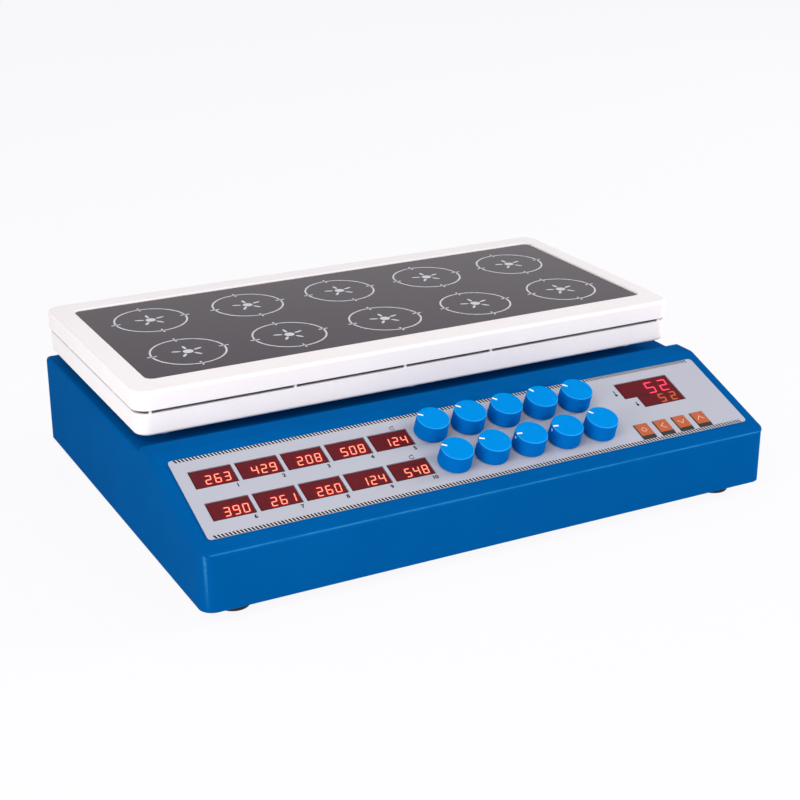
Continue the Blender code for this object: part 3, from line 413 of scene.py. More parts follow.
@dataclass(frozen=True)
class DigitFinish(Finish):
    """A lit display segment, brighter and yellower along its middle."""

    grain: float = 5000.0
    bump: float = 0.000004
    mottle: float = 0.05
    mottle_scale: float = 1500.0
    core_colour: Colour = (1.0, 0.5, 0.1)
    strength: float = 1.0

    def dress(self, graph: Graph, shader: bpy.types.Node) -> None:
        """Set the material's values and links."""
        self.surface(graph, shader, self.place(graph), (*self.colour, 1.0))
        core = graph.ramp(graph.attribute("core"), 0.1, 0.75, 0.0, 1.0)
        lit = graph.mix(core, (*self.colour, 1.0), (*self.core_colour, 1.0))
        graph.link(lit, shader.inputs["Emission Color"])
        shader.inputs["Emission Strength"].default_value = self.strength


@dataclass(frozen=True)
class BoardFinish(Finish):
    """Solder mask over copper tracks."""

    track_colour: Colour = (0.04, 0.20, 0.07)

    def dress(self, graph: Graph, shader: bpy.types.Node) -> None:
        """Set the material's values and links."""
        vector = self.place(graph)
        cells = graph.add("ShaderNodeTexVoronoi", {"Vector": vector, "Scale": 160.0}, distance="MANHATTAN",
                          feature="F1")
        track = graph.ramp(graph.math("PINGPONG", cells.outputs["Distance"], 0.11), 0.05, 0.07, 0.0, 1.0)
        self.surface(graph, shader, vector, graph.mix(track, (*self.colour, 1.0), (*self.track_colour, 1.0)))


# The lighter blue given for the folds is a painted highlight along the front folds.
BLUE_PAINT = PaintFinish(
    "blue_powder_coat", "blue_paint", (0.0001, 0.084, 0.290), roughness=0.42, grain=1100.0, bump=0.000012,
    mottle=0.035, coat=0.012, specular=0.0, rub_colour=(0.002, 0.12, 0.35), highlight_colour=(0.05, 0.30, 0.58))
WHITE_ENAMEL = PaintFinish(
    "white_stove_enamel", "white_enamel", (0.86, 0.812, 0.825), roughness=0.34, grain=700.0, bump=0.00001,
    mottle=0.012, coat=0.03, specular=0.10, rub_colour=(0.70, 0.68, 0.67), rub_share=0.2)
FILM = BrushedFinish(
    "satin_panel_film", "silver_film", (0.415, 0.42, 0.485), roughness=0.45, grain=2600.0, bump=0.000004,
    mottle=0.015, brushing=0.035, specular=0.25)
GLASS = GlassFinish(
    "dark_glass_ceramic", "dark_glass", (0.012, 0.001, 0.010), roughness=0.08, grain=260.0, bump=0.000002,
    gloss_change=0.08, mottle=0.05, specular=0.16)
PRINT = Finish(
    "pale_ceramic_print", "dark_glass", (0.58, 0.58, 0.64), roughness=0.55, grain=3500.0, bump=0.000006,
    mottle=0.10, mottle_scale=900.0)
# Face colour of the knobs; their side is painted darker as shade and their rounded edge lighter as a
# highlight.
KNOB_BLUE = KnobFinish(
    "knob_blue", "blue_plastic", (0.0003, 0.222, 0.640), roughness=0.36, grain=2200.0, bump=0.00001,
    mottle=0.02, mottle_scale=120.0, coat=0.02, specular=0.0)
POINTER_WHITE = Finish(
    "pointer_white", "blue_plastic", (0.86, 0.87, 0.88), roughness=0.5, grain=4000.0, bump=0.000008,
    mottle=0.05, mottle_scale=700.0)
KEY_ORANGE = Finish(
    "key_orange", "orange_plastic", (0.42, 0.095, 0.036), roughness=0.45, grain=3200.0, bump=0.00001,
    mottle=0.05, mottle_scale=260.0, specular=0.2)
KEY_MARK = Finish(
    "key_pale_mark", "orange_plastic", (0.80, 0.50, 0.38), roughness=0.5, grain=4000.0, bump=0.000006,
    mottle=0.08, mottle_scale=900.0)
BLACK_PLASTIC = Finish(
    "black_moulding", "black_plastic", (0.022, 0.022, 0.024), roughness=0.48, grain=2600.0, bump=0.00003,
    mottle=0.08, mottle_scale=90.0, specular=0.2)
WHITE_MARK = Finish(
    "white_switch_mark", "black_plastic", (0.80, 0.80, 0.78), roughness=0.55, grain=3800.0, bump=0.000008,
    mottle=0.06, mottle_scale=800.0)
INK = Finish(
    "dark_panel_ink", "silver_film", (0.014, 0.014, 0.020), roughness=0.5, grain=3800.0, bump=0.000006,
    mottle=0.10, mottle_scale=900.0, specular=0.05)
PALE_INK = Finish(
    "pale_panel_ink", "silver_film", (0.56, 0.56, 0.58), roughness=0.5, grain=3800.0, bump=0.000006,
    mottle=0.04, mottle_scale=900.0, specular=0.2)
RED_WINDOW = WindowFinish(
    "tinted_red_window", "red_window", (0.112, 0.013, 0.018), roughness=0.25, grain=1500.0, bump=0.000003,
    mottle=0.05, mottle_scale=120.0, coat=0.05, specular=0.0)
SPEED_DIGIT = DigitFinish(
    "speed_segment", "red_window", (1.0, 0.070, 0.030), core_colour=(1.0, 0.62, 0.42), strength=1.1)
PROCESS_DIGIT = DigitFinish(
    "process_segment", "red_window", (1.0, 0.012, 0.070), core_colour=(1.0, 0.10, 0.22))
SETPOINT_DIGIT = DigitFinish(
    "setpoint_segment", "red_window", (0.27, 0.060, 0.006), core_colour=(0.40, 0.15, 0.02), strength=0.65)
RUBBER = Finish(
    "black_foot_rubber", "foot_rubber", (0.018, 0.018, 0.020), roughness=0.75, grain=1800.0, bump=0.00006,
    mottle=0.15, mottle_scale=150.0, specular=0.3)
ZINC = BrushedFinish(
    "zinc_plated_sheet", "zinc_sheet", (0.52, 0.53, 0.55), roughness=0.42, metallic=1.0, grain=350.0,
    bump=0.00001, mottle=0.10, mottle_scale=60.0, gloss_change=0.16)
ALUMINIUM = Finish(
    "cast_heater_block", "cast_aluminium", (0.62, 0.62, 0.63), roughness=0.5, metallic=1.0, grain=700.0,
    bump=0.00008, mottle=0.06, mottle_scale=40.0)
NICKEL = BrushedFinish(
    "nickel_plate", "magnet_nickel", (0.62, 0.60, 0.56), roughness=0.3, metallic=1.0, grain=900.0,
    bump=0.000006, mottle=0.05, stretch=(1500.0, 1500.0, 60.0))
BOARD = BoardFinish(
    "control_board_mask", "board_laminate", (0.016, 0.115, 0.045), roughness=0.4, grain=1500.0,
    bump=0.00001, mottle=0.10, mottle_scale=120.0)


# Meshes
def arc(centre_x: float, centre_y: float, radius: float, start: float, sweep: float, steps: int) -> Outline:
    """Return the points of an arc, both ends included."""
    angles = [start + sweep * step / steps for step in range(steps + 1)]
    return [(centre_x + radius * math.cos(a), centre_y + radius * math.sin(a)) for a in angles]


def circle(radius: float, steps: int, centre: Point = (0.0, 0.0)) -> Outline:
    """Return a circle's outline."""
    return arc(centre[0], centre[1], radius, 0.0, math.tau, steps)[:-1]


def rectangle(width: float, height: float, centre: Point = (0.0, 0.0)) -> Outline:
    """Return a rectangle's outline."""
    x, y = centre
    return [(x + i * width / 2, y + j * height / 2) for i, j in ((-1, -1), (1, -1), (1, 1), (-1, 1))]


def rounded(width: float, height: float, radius: float, centre: Point = (0.0, 0.0), steps: int = 10,
            rear_radius: float | None = None) -> Outline:
    """Return a rectangle's outline with rounded corners.

    Args:
        width: Its size along x.
        height: Its size along y.
        radius: The corners' radius.
        centre: Its middle.
        steps: Straight pieces in each corner.
        rear_radius: The radius of the two corners at the high y side, where it differs.

    Returns:
        The points, anticlockwise from the lower right corner.
    """
    rear = radius if rear_radius is None else rear_radius
    points: Outline = []
    corners = ((1, -1, radius), (1, 1, rear), (-1, 1, rear), (-1, -1, radius))
    for index, (side_x, side_y, r) in enumerate(corners):
        x = centre[0] + side_x * (width / 2 - r)
        y = centre[1] + side_y * (height / 2 - r)
        points += arc(x, y, r, (index - 1) * math.pi / 2, math.pi / 2, steps)
    return points


def slot(length: float, width: float, centre: Point, steps: int = 8) -> Outline:
    """Return the outline of a slot with round ends, long in y."""
    half = (length - width) / 2
    top = arc(centre[0], centre[1] + half, width / 2, 0.0, math.pi, steps)
    return top + arc(centre[0], centre[1] - half, width / 2, math.pi, math.pi, steps)


def made_mesh(bm: bmesh.types.BMesh, name: str) -> bpy.types.Mesh:
    """Return a shape as a mesh, and free the shape."""
    mesh = bpy.data.meshes.new(name)
    bm.to_mesh(mesh)
    bm.free()
    return mesh


def mesh_of(bm: bmesh.types.BMesh, name: str) -> bpy.types.Mesh:
    """Merge a shape's doubles, turn its faces outwards and return it as a mesh."""
    bmesh.ops.remove_doubles(bm, verts=bm.verts, dist=MERGE_DISTANCE)
    bmesh.ops.recalc_face_normals(bm, faces=bm.faces)
    return made_mesh(bm, name)


def band(bm: bmesh.types.BMesh, first: Sequence[bmesh.types.BMVert],
         second: Sequence[bmesh.types.BMVert]) -> None:
    """Add the faces between two closed rows of as many points each."""
    for index in range(len(first)):
        after = (index + 1) % len(first)
        bm.faces.new((first[index], first[after], second[after], second[index]))


def joined(meshes: Iterable[bpy.types.Mesh]) -> bpy.types.Mesh:
    """Return one mesh that holds several, and remove those."""
    bm = bmesh.new()
    for mesh in meshes:
        bm.from_mesh(mesh)
        bpy.data.meshes.remove(mesh)
    return made_mesh(bm, "joined")


def moved(mesh: bpy.types.Mesh, matrix: Matrix) -> bpy.types.Mesh:
    """Move a mesh's points and return it."""
    mesh.transform(matrix)
    return mesh


def evaluated_mesh(holder: bpy.types.Object) -> bpy.types.Mesh:
    """Return the plain mesh of an object with its modifiers applied, and remove the object."""
    evaluated = holder.evaluated_get(bpy.context.evaluated_depsgraph_get())
    mesh = bpy.data.meshes.new_from_object(evaluated)
    bpy.data.objects.remove(holder)
    return mesh


def holder_of(data: bpy.types.ID) -> bpy.types.Object:
    """Return a helper object in the scene that holds a mesh or a curve."""
    holder = bpy.data.objects.new("holder", data)
    bpy.context.scene.collection.objects.link(holder)
    return holder


def plate(outlines: Sequence[Outline], low: float, high: float) -> bpy.types.Mesh:
    """Return a flat solid between two heights.

    Args:
        outlines: An outline inside another is a hole in it, and one beside it is a body of its own.
        low: Height of its underside.
        high: Height of its top.
    """
    curve = bpy.data.curves.new("outline", "CURVE")
    curve.dimensions = "2D"
    curve.fill_mode = "BOTH"
    curve.extrude = (high - low) / 2
    for points in outlines:
        spline = curve.splines.new("POLY")
        spline.points.add(len(points) - 1)
        for point, (x, y) in zip(spline.points, points):
            point.co = (x, y, 0.0, 1.0)
        spline.use_cyclic_u = True
    mesh = evaluated_mesh(holder_of(curve))
    bm = bmesh.new()
    bm.from_mesh(mesh)
    bmesh.ops.remove_doubles(bm, verts=bm.verts, dist=MERGE_DISTANCE)
    bmesh.ops.translate(bm, verts=bm.verts, vec=(0.0, 0.0, (low + high) / 2))
    bmesh.ops.dissolve_limit(bm, angle_limit=math.radians(0.5), verts=bm.verts, edges=bm.edges)
    bm.to_mesh(mesh)
    bm.free()
    return mesh


def loft(sections: Sequence[tuple[Outline, float]], cap_first: bool = True, cap_last: bool = True,
         closed: bool = False) -> bpy.types.Mesh:
    """Return the solid through a row of outlines with as many points each.

    Args:
        sections: Each outline and its height.
        cap_first: Whether the first outline is filled.
        cap_last: Whether the last outline is filled.
        closed: Whether the last outline joins the first instead.
    """
    bm = bmesh.new()
    loops = [[bm.verts.new((x, y, z)) for x, y in outline] for outline, z in sections]
    pairs = list(zip(loops, loops[1:])) + ([(loops[-1], loops[0])] if closed else [])
    for first, second in pairs:
        band(bm, first, second)
    if cap_first and not closed:
        bm.faces.new(loops[0])
    if cap_last and not closed:
        bm.faces.new(loops[-1])
    return mesh_of(bm, "loft")


def turned(profile: Outline, steps: int) -> bpy.types.Mesh:
    """Return a turned solid from its profile, given as (radius, height) down its outside."""
    bm = bmesh.new()
    rings: list[list[bmesh.types.BMVert]] = []
    for radius, height in profile:
        if radius < MERGE_DISTANCE:
            rings.append([bm.verts.new((0.0, 0.0, height))])
        else:
            rings.append([bm.verts.new((x, y, height)) for x, y in circle(radius, steps)])
    for first, second in zip(rings, rings[1:]):
        for index in range(steps):
            after = (index + 1) % steps
            corners = [first[index % len(first)], first[after % len(first)],
                       second[after % len(second)], second[index % len(second)]]
            unique = list(dict.fromkeys(corners))
            if len(unique) > 2:
                bm.faces.new(unique)
    return mesh_of(bm, "turned")


def block(low: Sequence[float], high: Sequence[float]) -> bpy.types.Mesh:
    """Return a box between two corners."""
    middle = ((low[0] + high[0]) / 2, (low[1] + high[1]) / 2)
    return plate([rectangle(high[0] - low[0], high[1] - low[1], middle)], low[2], high[2])


def lettering(text: str, height: float, low: float, high: float, bold: float = 0.0) -> bpy.types.Mesh:
    """Return plain raised lettering, its middle at zero.

    Args:
        text: What it says.
        height: Height of a capital or a numeral.
        low: Height of its underside.
        high: Height of its top.
        bold: How far its outlines are grown, as a share of its height.
    """
    curve = bpy.data.curves.new("letters", "FONT")
    curve.body = text
    curve.align_x = "CENTER"
    curve.align_y = "CENTER"
    curve.size = height / 0.69
    curve.extrude = (high - low) / 2
    curve.resolution_u = 4
    curve.offset = height * bold
    mesh = evaluated_mesh(holder_of(curve))
    return moved(mesh, Matrix.Translation((0.0, 0.0, (low + high) / 2)))


def stroke(points: Sequence[Point], width: float, closed: bool = False) -> list[Outline]:
    """Return the outlines of a line of a given width with round ends and corners.

    Args:
        points: The line's points.
        width: Its width.
        closed: Whether its last point joins its first.

    Returns:
        One outline, or an outer and an inner one for a closed line.
    """
    half = width / 2
    count = len(points)
    if closed:
        rings = []
        for side in (half, -half):
            ring = []
            for index in range(count):
                before, here, after = (Vector(points[(index + step) % count]) for step in (-1, 0, 1))
                first = (here - before).normalized()
                second = (after - here).normalized()
                across = Vector((first.y + second.y, -first.x - second.x)).normalized()
                reach = side / max(0.35, across.dot(Vector((first.y, -first.x))))
                ring.append(tuple(here + across * reach))
            rings.append(ring)
        return rings
    outline: Outline = []
    for run in (list(points), list(points)[::-1]):
        for index, here in enumerate(run[:-1]):
            before, after = Vector(run[max(0, index - 1)]), Vector(run[index + 1])
            second = (after - Vector(here)).normalized()
            first = (Vector(here) - before).normalized() if index else second
            across = Vector((first.y + second.y, -first.x - second.x)).normalized()
            square = max(0.35, across.dot(Vector((second.y, -second.x))))
            outline.append(tuple(Vector(here) + across * half / square))
        end, along = run[-1], math.atan2(run[-1][1] - run[-2][1], run[-1][0] - run[-2][0])
        outline += arc(end[0], end[1], half, along - math.pi / 2, math.pi, 6)[:-1]
    return [outline]


def combine(mesh: bpy.types.Mesh, operation: str, tools: Iterable[bpy.types.Mesh]) -> bpy.types.Mesh:
    """Cut shapes out of a mesh or join them to it, and return the result.

    Args:
        mesh: The mesh that is changed.
        operation: DIFFERENCE or UNION.
        tools: The other shapes, at their places.
    """
    holder = holder_of(mesh)
    others = []
    for index, tool in enumerate(tools):
        other = holder_of(tool)
        modifier = holder.modifiers.new(f"shape_{index}", "BOOLEAN")
        modifier.operation = operation
        modifier.solver = "EXACT"
        modifier.object = other
        others.append(other)
    result = evaluated_mesh(holder)
    for other in others:
        bpy.data.objects.remove(other)
    return result


def softened(mesh: bpy.types.Mesh, width: float, steps: int = 2, angle: float = 40.0) -> bpy.types.Mesh:
    """Round a mesh's sharp edges and return it."""
    holder = holder_of(mesh)
    bevel = holder.modifiers.new("edges", "BEVEL")
    bevel.width = width
    bevel.segments = steps
    bevel.limit_method = "ANGLE"
    bevel.angle_limit = math.radians(angle)
    return evaluated_mesh(holder)


def smoothed(mesh: bpy.types.Mesh, angle: float = 32.0) -> bpy.types.Mesh:
    """Shade a mesh smooth apart from its sharp edges, with its flat faces kept flat, and return it."""
    mesh.shade_smooth()
    mesh.set_sharp_from_angle(angle=math.radians(angle))
    holder = holder_of(mesh)
    normals = holder.modifiers.new("flat_faces", "WEIGHTED_NORMAL")
    normals.keep_sharp = True
    normals.weight = 80
    return evaluated_mesh(holder)


def add_piece(name: str, mesh: bpy.types.Mesh, finish: Finish, body: str = HOUSING_BODY,
              replaces: Sequence[str] = ()) -> bpy.types.Object:
    """Make a finished piece of the machine.

    Args:
        name: The piece's name.
        mesh: Its mesh, at its place.
        finish: Its surface.
        body: The body that it moves with.
        replaces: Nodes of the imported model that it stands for.

    Returns:
        The piece's object.
    """
    mesh.materials.clear()
    mesh.materials.append(finish.material())
    mesh.name = name
    piece = bpy.data.objects.new(name, mesh)
    bpy.context.scene.collection.objects.link(piece)
    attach(piece, body)
    if replaces:
        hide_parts(*replaces)
    LOG.info("%s: %d faces on %s", name, len(mesh.polygons), body)
    return piece


# Geometry nodes
class Pattern(Enum):
    """The shapes that Geometry Nodes repeat."""

    GRID = "repeat_on_grid"
    POSTS = "posts_on_points"
    RINGS = "rings_on_points"

    def tree(self) -> bpy.types.NodeTree:
        """Return the pattern's tree, built on first use."""
        builders = {Pattern.GRID: grid_tree, Pattern.POSTS: post_tree, Pattern.RINGS: ring_tree}
        return bpy.data.node_groups.get(self.value) or builders[self]()


def start_pattern(pattern: Pattern,
                  inputs: Sequence[tuple[str, str, object]]) -> tuple[Graph, bpy.types.Node, bpy.types.Node]:
    """Start a pattern's tree, with a geometry before its own inputs and a material after them."""
    inputs = [("Geometry", GEOMETRY, None), *inputs, ("Material", MATERIAL, None)]
    return make_group(pattern.value, "GeometryNodeTree", inputs, [("Geometry", GEOMETRY)])


def end_tree(graph: Graph, start: bpy.types.Node, end: bpy.types.Node,
             geometry: object) -> bpy.types.NodeTree:
    """Make the instances real, give them the material and close the tree."""
    real = graph.add("GeometryNodeRealizeInstances", {"Geometry": geometry})
    dressed = graph.add("GeometryNodeSetMaterial", {"Geometry": real.outputs[0],
                                                    "Material": start.outputs["Material"]})
    graph.link(dressed.outputs[0], end.inputs["Geometry"])
    return graph.tree


def grid_tree() -> bpy.types.NodeTree:
    """Build the tree that repeats its own shape in columns and rows."""
    graph, start, end = start_pattern(Pattern.GRID, [
        ("Columns", INTEGER, 1), ("Rows", INTEGER, 1), ("Start", VECTOR, None), ("Column Step", VECTOR, None),
        ("Row Step", VECTOR, None)])
    value = start.outputs
    columns = graph.add("GeometryNodeMeshLine", {"Count": value["Columns"], "Start Location": value["Start"],
                                                 "Offset": value["Column Step"]}, mode="OFFSET")
    rows = graph.add("GeometryNodeMeshLine", {"Count": value["Rows"], "Offset": value["Row Step"]},
                     mode="OFFSET")
    crossed = graph.instances(columns.outputs[0], rows.outputs[0])
    points = graph.add("GeometryNodeRealizeInstances", {"Geometry": crossed})
    return end_tree(graph, start, end, graph.instances(points.outputs[0], value["Geometry"]))


def post_tree() -> bpy.types.NodeTree:
    """Build the tree that stands a round post on each point."""
    graph, start, end = start_pattern(Pattern.POSTS, [
        ("Radius", FLOAT, 0.001), ("Height", FLOAT, 0.01), ("Sides", INTEGER, 24)])
    value = start.outputs
    post = graph.add("GeometryNodeMeshCylinder", {"Vertices": value["Sides"], "Radius": value["Radius"],
                                                  "Depth": value["Height"]})
    up = graph.vector(0.0, 0.0, graph.math("MULTIPLY", value["Height"], 0.5))
    raised = graph.add("GeometryNodeTransform", {"Geometry": post.outputs[0], "Translation": up})
    return end_tree(graph, start, end, graph.instances(value["Geometry"], raised.outputs[0]))


def ring_tree() -> bpy.types.NodeTree:
    """Build the tree that prints a stirring place's ring, ticks and star on each point."""
    graph, start, end = start_pattern(Pattern.RINGS, [
        ("Ring Radius", FLOAT, 0.0286), ("Line Width", FLOAT, 0.0015), ("Tick Length", FLOAT, 0.0076),
        ("Dot Radius", FLOAT, 0.0040), ("Ray Start", FLOAT, 0.0053), ("Ray Length", FLOAT, 0.0074),
        ("Ray Width", FLOAT, 0.0023), ("Thickness", FLOAT, 0.00004)])
    value = start.outputs
    line, thickness = value["Line Width"], value["Thickness"]
    path = graph.add("GeometryNodeCurvePrimitiveCircle", {"Resolution": 96, "Radius": value["Ring Radius"]})
    section = graph.add("GeometryNodeCurvePrimitiveQuadrilateral", {"Width": line, "Height": thickness})
    ring = graph.add("GeometryNodeCurveToMesh", {
        "Curve": path.outputs[0], "Profile Curve": section.outputs[0], "Fill Caps": True})
    position = graph.add("GeometryNodeInputPosition").outputs[0]
    aim = graph.add("FunctionNodeAlignRotationToVector", {"Vector": position}, axis="X").outputs[0]
    four = graph.add("GeometryNodeMeshCircle", {"Vertices": 4, "Radius": value["Ring Radius"]})
    tick = graph.add("GeometryNodeMeshCube", {"Size": graph.vector(value["Tick Length"], line, thickness)})
    ticks = graph.instances(four.outputs[0], tick.outputs[0], Rotation=aim)
    dot = graph.add("GeometryNodeMeshCylinder", {"Vertices": 40, "Radius": value["Dot Radius"],
                                                 "Depth": thickness})
    reach = graph.math("ADD", value["Ray Start"], graph.math("MULTIPLY", value["Ray Length"], 0.5))
    five = graph.add("GeometryNodeMeshCircle", {"Vertices": 5, "Radius": reach})
    turn = graph.add("GeometryNodeTransform", {"Geometry": five.outputs[0],
                                               "Rotation": (0.0, 0.0, math.radians(18.0))})
    petal = graph.add("GeometryNodeMeshCylinder", {"Vertices": 20, "Radius": 0.5, "Depth": 1.0})
    size = graph.vector(value["Ray Length"], value["Ray Width"], thickness)
    shaped = graph.add("GeometryNodeTransform", {"Geometry": petal.outputs[0], "Scale": size})
    rays = graph.instances(turn.outputs[0], shaped.outputs[0], Rotation=aim)
    together = graph.add("GeometryNodeJoinGeometry")
    for shape in (ring.outputs[0], ticks, dot.outputs[0], rays):
        graph.link(shape, together.inputs[0])
    return end_tree(graph, start, end, graph.instances(value["Geometry"], together.outputs[0]))


def repeated(mesh: bpy.types.Mesh, pattern: Pattern, finish: Finish, **values: object) -> bpy.types.Mesh:
    """Run a pattern on a mesh and return the plain result.

    Args:
        mesh: The shape that is repeated, or the points that it is repeated on.
        pattern: The tree.
        finish: The surface of the result.
        values: The tree's inputs, with underscores for the spaces in their names.
    """
    holder = holder_of(mesh)
    modifier = holder.modifiers.new(pattern.value, "NODES")
    modifier.node_group = pattern.tree()
    named = {key.replace("_", " "): value for key, value in values.items()}
    named["Material"] = finish.material()
    for item in modifier.node_group.interface.items_tree:
        if item.item_type == "SOCKET" and item.in_out == "INPUT" and item.name in named:
            modifier[item.identifier] = named[item.name]
    return evaluated_mesh(holder)


def points_mesh(points: Iterable[Sequence[float]]) -> bpy.types.Mesh:
    """Return a mesh of loose points."""
    mesh = bpy.data.meshes.new("points")
    mesh.from_pydata([tuple(point) for point in points], [], [])
    return mesh


# Places
@dataclass(frozen=True)
class Slope:
    """The sloping face of the housing and the panel on it."""

    front_y: float = -0.1750
    fold_z: float = 0.0524
    run: float = 0.0963
    rise: float = 0.0350
    panel_width: float = 0.4465
    panel_low: float = 0.0132
    panel_height: float = 0.0795
    film_top: float = 0.0007     # the film's face over the sheet

    def angle(self) -> float:
        """Return the slope's angle to the bench."""
        return math.atan2(self.rise, self.run)

    def at(self, x: float = 0.0, s: float = 0.0, n: float = 0.0, turn: float = 0.0) -> Matrix:
        """Return the matrix of a place on the slope, turned about the slope's normal."""
        fold = Matrix.Translation((0.0, self.front_y, self.fold_z))
        tilt = Matrix.Rotation(self.angle(), 4, "X")
        return fold @ tilt @ Matrix.Translation((x, s, n)) @ Matrix.Rotation(turn, 4, "Z")

    def on_panel(self, column: float, row: float) -> Point:
        """Return x and s of a place given in shares of the panel's width and height."""
        return column * self.panel_width, self.panel_low + row * self.panel_height


SLOPE = Slope()


# Housing
@dataclass
class Housing:
    """The folded blue shell with its openings, its feet and the screws of its base plate."""

    width: float = 0.4666
    base: float = 0.0100
    rear_y: float = 0.1725
    ledge_z: float = 0.0874
    ledge_run: float = 0.0209
    deck_z: float = 0.0810
    sheet: float = 0.0015
    corner: float = 0.0110
    rear_corner: float = 0.0045
    fold: float = 0.0035
    fold_steps: int = 8
    highlight_spread: float = math.radians(7.0)      # turn from a fold's middle at which its painted highlight ends
    clearance: float = 0.0003
    upright: float = 0.02        # edges longer than this stand upright
    near: float = 0.001          # an edge this close to a face lies on it
    foot_radius: float = 0.0125
    foot_top: float = 0.0097
    foot_chamfer: float = 0.0004
    foot_taper: float = 0.0008
    foot_flare: float = 0.0030   # height at which the foot's taper ends
    foot_edge: float = 0.0015
    foot_recess: tuple[Point, ...] = ((0.0062, 0.0), (0.0056, 0.0006), (0.0052, 0.0046), (0.0, 0.0046))
    foot_screw: Point = (0.0042, 0.0022)        # radius and height of a screw's head
    plate_screw: Point = (0.0030, 0.0016)
    plate_screws: tuple[int, int] = (4, 2)      # columns and rows
    plate_screw_start: Point = (-0.1800, -0.1590)
    plate_screw_steps: Point = (0.1200, 0.3150)
    feet: dict[str, Point] = field(default_factory=lambda: {
        "front_left": (-0.2033, -0.1515), "front_right": (0.2033, -0.1515),
        "rear_left": (-0.2033, 0.1445), "rear_right": (0.2033, 0.1445)})

    def shell(self) -> bpy.types.Mesh:
        """Return the folded sheet, open below, before its openings are cut."""
        ledge_front = SLOPE.front_y + SLOPE.run
        profile = [(SLOPE.front_y, self.base), (SLOPE.front_y, SLOPE.fold_z), (ledge_front, self.ledge_z),
                   (ledge_front + self.ledge_run, self.ledge_z), (ledge_front + self.ledge_run, self.deck_z),
                   (self.rear_y, self.deck_z), (self.rear_y, self.base)]
        bm = bmesh.new()
        side = bm.faces.new([bm.verts.new((-self.width / 2, y, z)) for y, z in profile])
        far = [item for item in bmesh.ops.extrude_face_region(bm, geom=[side])["geom"]
               if isinstance(item, bmesh.types.BMVert)]
        bmesh.ops.translate(bm, verts=far, vec=(self.width, 0.0, 0.0))
        bmesh.ops.recalc_face_normals(bm, faces=bm.faces)
        bmesh.ops.delete(bm, geom=[face for face in bm.faces if face.normal.z < -0.5], context="FACES_ONLY")
        weight = bm.edges.layers.float.new("bevel_weight_edge")
        for edge in bm.edges:
            first, second = (vert.co for vert in edge.verts)
            middle = (first + second) / 2
            upright = abs(first.z - second.z) > self.upright and abs(first.y - second.y) < self.near
            if upright and middle.y < SLOPE.front_y + self.near:
                edge[weight] = 1.0
            elif upright and middle.y > self.rear_y - self.near:
                edge[weight] = self.rear_corner / self.corner
            elif len(edge.link_faces) == 2 and edge.is_convex and middle.z > self.base + self.near:
                edge[weight] = self.fold / self.corner
        holder = holder_of(made_mesh(bm, "shell"))
        bevel = holder.modifiers.new("folds", "BEVEL")
        bevel.width = self.corner
        bevel.segments = self.fold_steps
        bevel.limit_method = "WEIGHT"
        wall = holder.modifiers.new("sheet", "SOLIDIFY")
        wall.thickness = self.sheet
        wall.offset = -1.0
        wall.use_even_offset = True
        return evaluated_mesh(holder)

    def openings(self, panel: "Panel", rear: "PowerInlet", tray: "Tray") -> list[bpy.types.Mesh]:
        """Return the shapes that are cut out of the shell."""
        cut = self.sheet + 2 * OVERRUN
        front = moved(plate(panel.openings(self.clearance), 0.0, cut), SLOPE.at(n=-self.sheet - OVERRUN))
        holes = [circle(SHAFT_HOLE_RADIUS, HOLE_SIDES, place) for place in tray.places()]
        shafts = plate(holes, self.deck_z - self.sheet - OVERRUN, self.deck_z + OVERRUN)
        wall = Matrix.Translation((0.0, self.rear_y + OVERRUN, 0.0)) @ Matrix.Rotation(math.pi / 2, 4, "X")
        back = moved(plate(rear.wall_openings(self.clearance), 0.0, cut), wall)
        return [front, shafts, back]

    def highlighted(self, mesh: bpy.types.Mesh) -> bpy.types.Mesh:
        """Mark the middles of the front folds for a painted highlight, and return the mesh."""
        half = (math.pi / 2 - SLOPE.angle()) / 2
        ways = [Vector((0.0, -math.cos(half), math.sin(half))), Vector((-1.0, -1.0, 0.0)).normalized(),
                Vector((1.0, -1.0, 0.0)).normalized()]
        limit = math.cos(self.highlight_spread)
        # the attribute edge holds the painted highlight's strength, on the front folds only
        edge = mesh.attributes.new("edge", "FLOAT", "POINT")
        for vert, item in zip(mesh.vertices, edge.data):
            nearest = max(vert.normal.dot(way) for way in ways)
            in_front = vert.co.y < SLOPE.front_y + self.corner
            item.value = max(0.0, (nearest - limit) / (1.0 - limit)) if in_front else 0.0
        return mesh

    def foot(self, place: Point) -> bpy.types.Mesh:
        """Return a rubber foot with the recess and the washer seat of its screw."""
        r, chamfer, edge = self.foot_radius, self.foot_chamfer, self.foot_edge
        profile = [(0.0, self.foot_top), (r - chamfer, self.foot_top), (r, self.foot_top - chamfer),
                   (r - self.foot_taper + chamfer, self.foot_flare)]
        profile += arc(r - self.foot_taper - edge, edge, edge, 0.0, -math.pi / 2, 5)
        profile += self.foot_recess
        return moved(smoothed(turned(profile, 56), 40.0), Matrix.Translation((*place, 0.0)))

    def screw(self, radius: float, height: float) -> bpy.types.Mesh:
        """Return a cross-head screw whose head hangs down from zero."""
        dome = [(0.0, -height)] + [(radius * math.sin(a), -height * math.cos(a))
                                   for a in (0.35, 0.7, 1.05, 1.35)] + [(radius, 0.0), (0.0, 0.0)]
        slit, reach, depth, below = radius * 0.22 / 2, radius * 0.62, height * 0.65, -height * 1.2
        cross = [block((-x, -y, below), (x, y, depth - height)) for x, y in ((reach, slit), (slit, reach))]
        return smoothed(combine(turned(dome, 24), "DIFFERENCE", cross), 35.0)

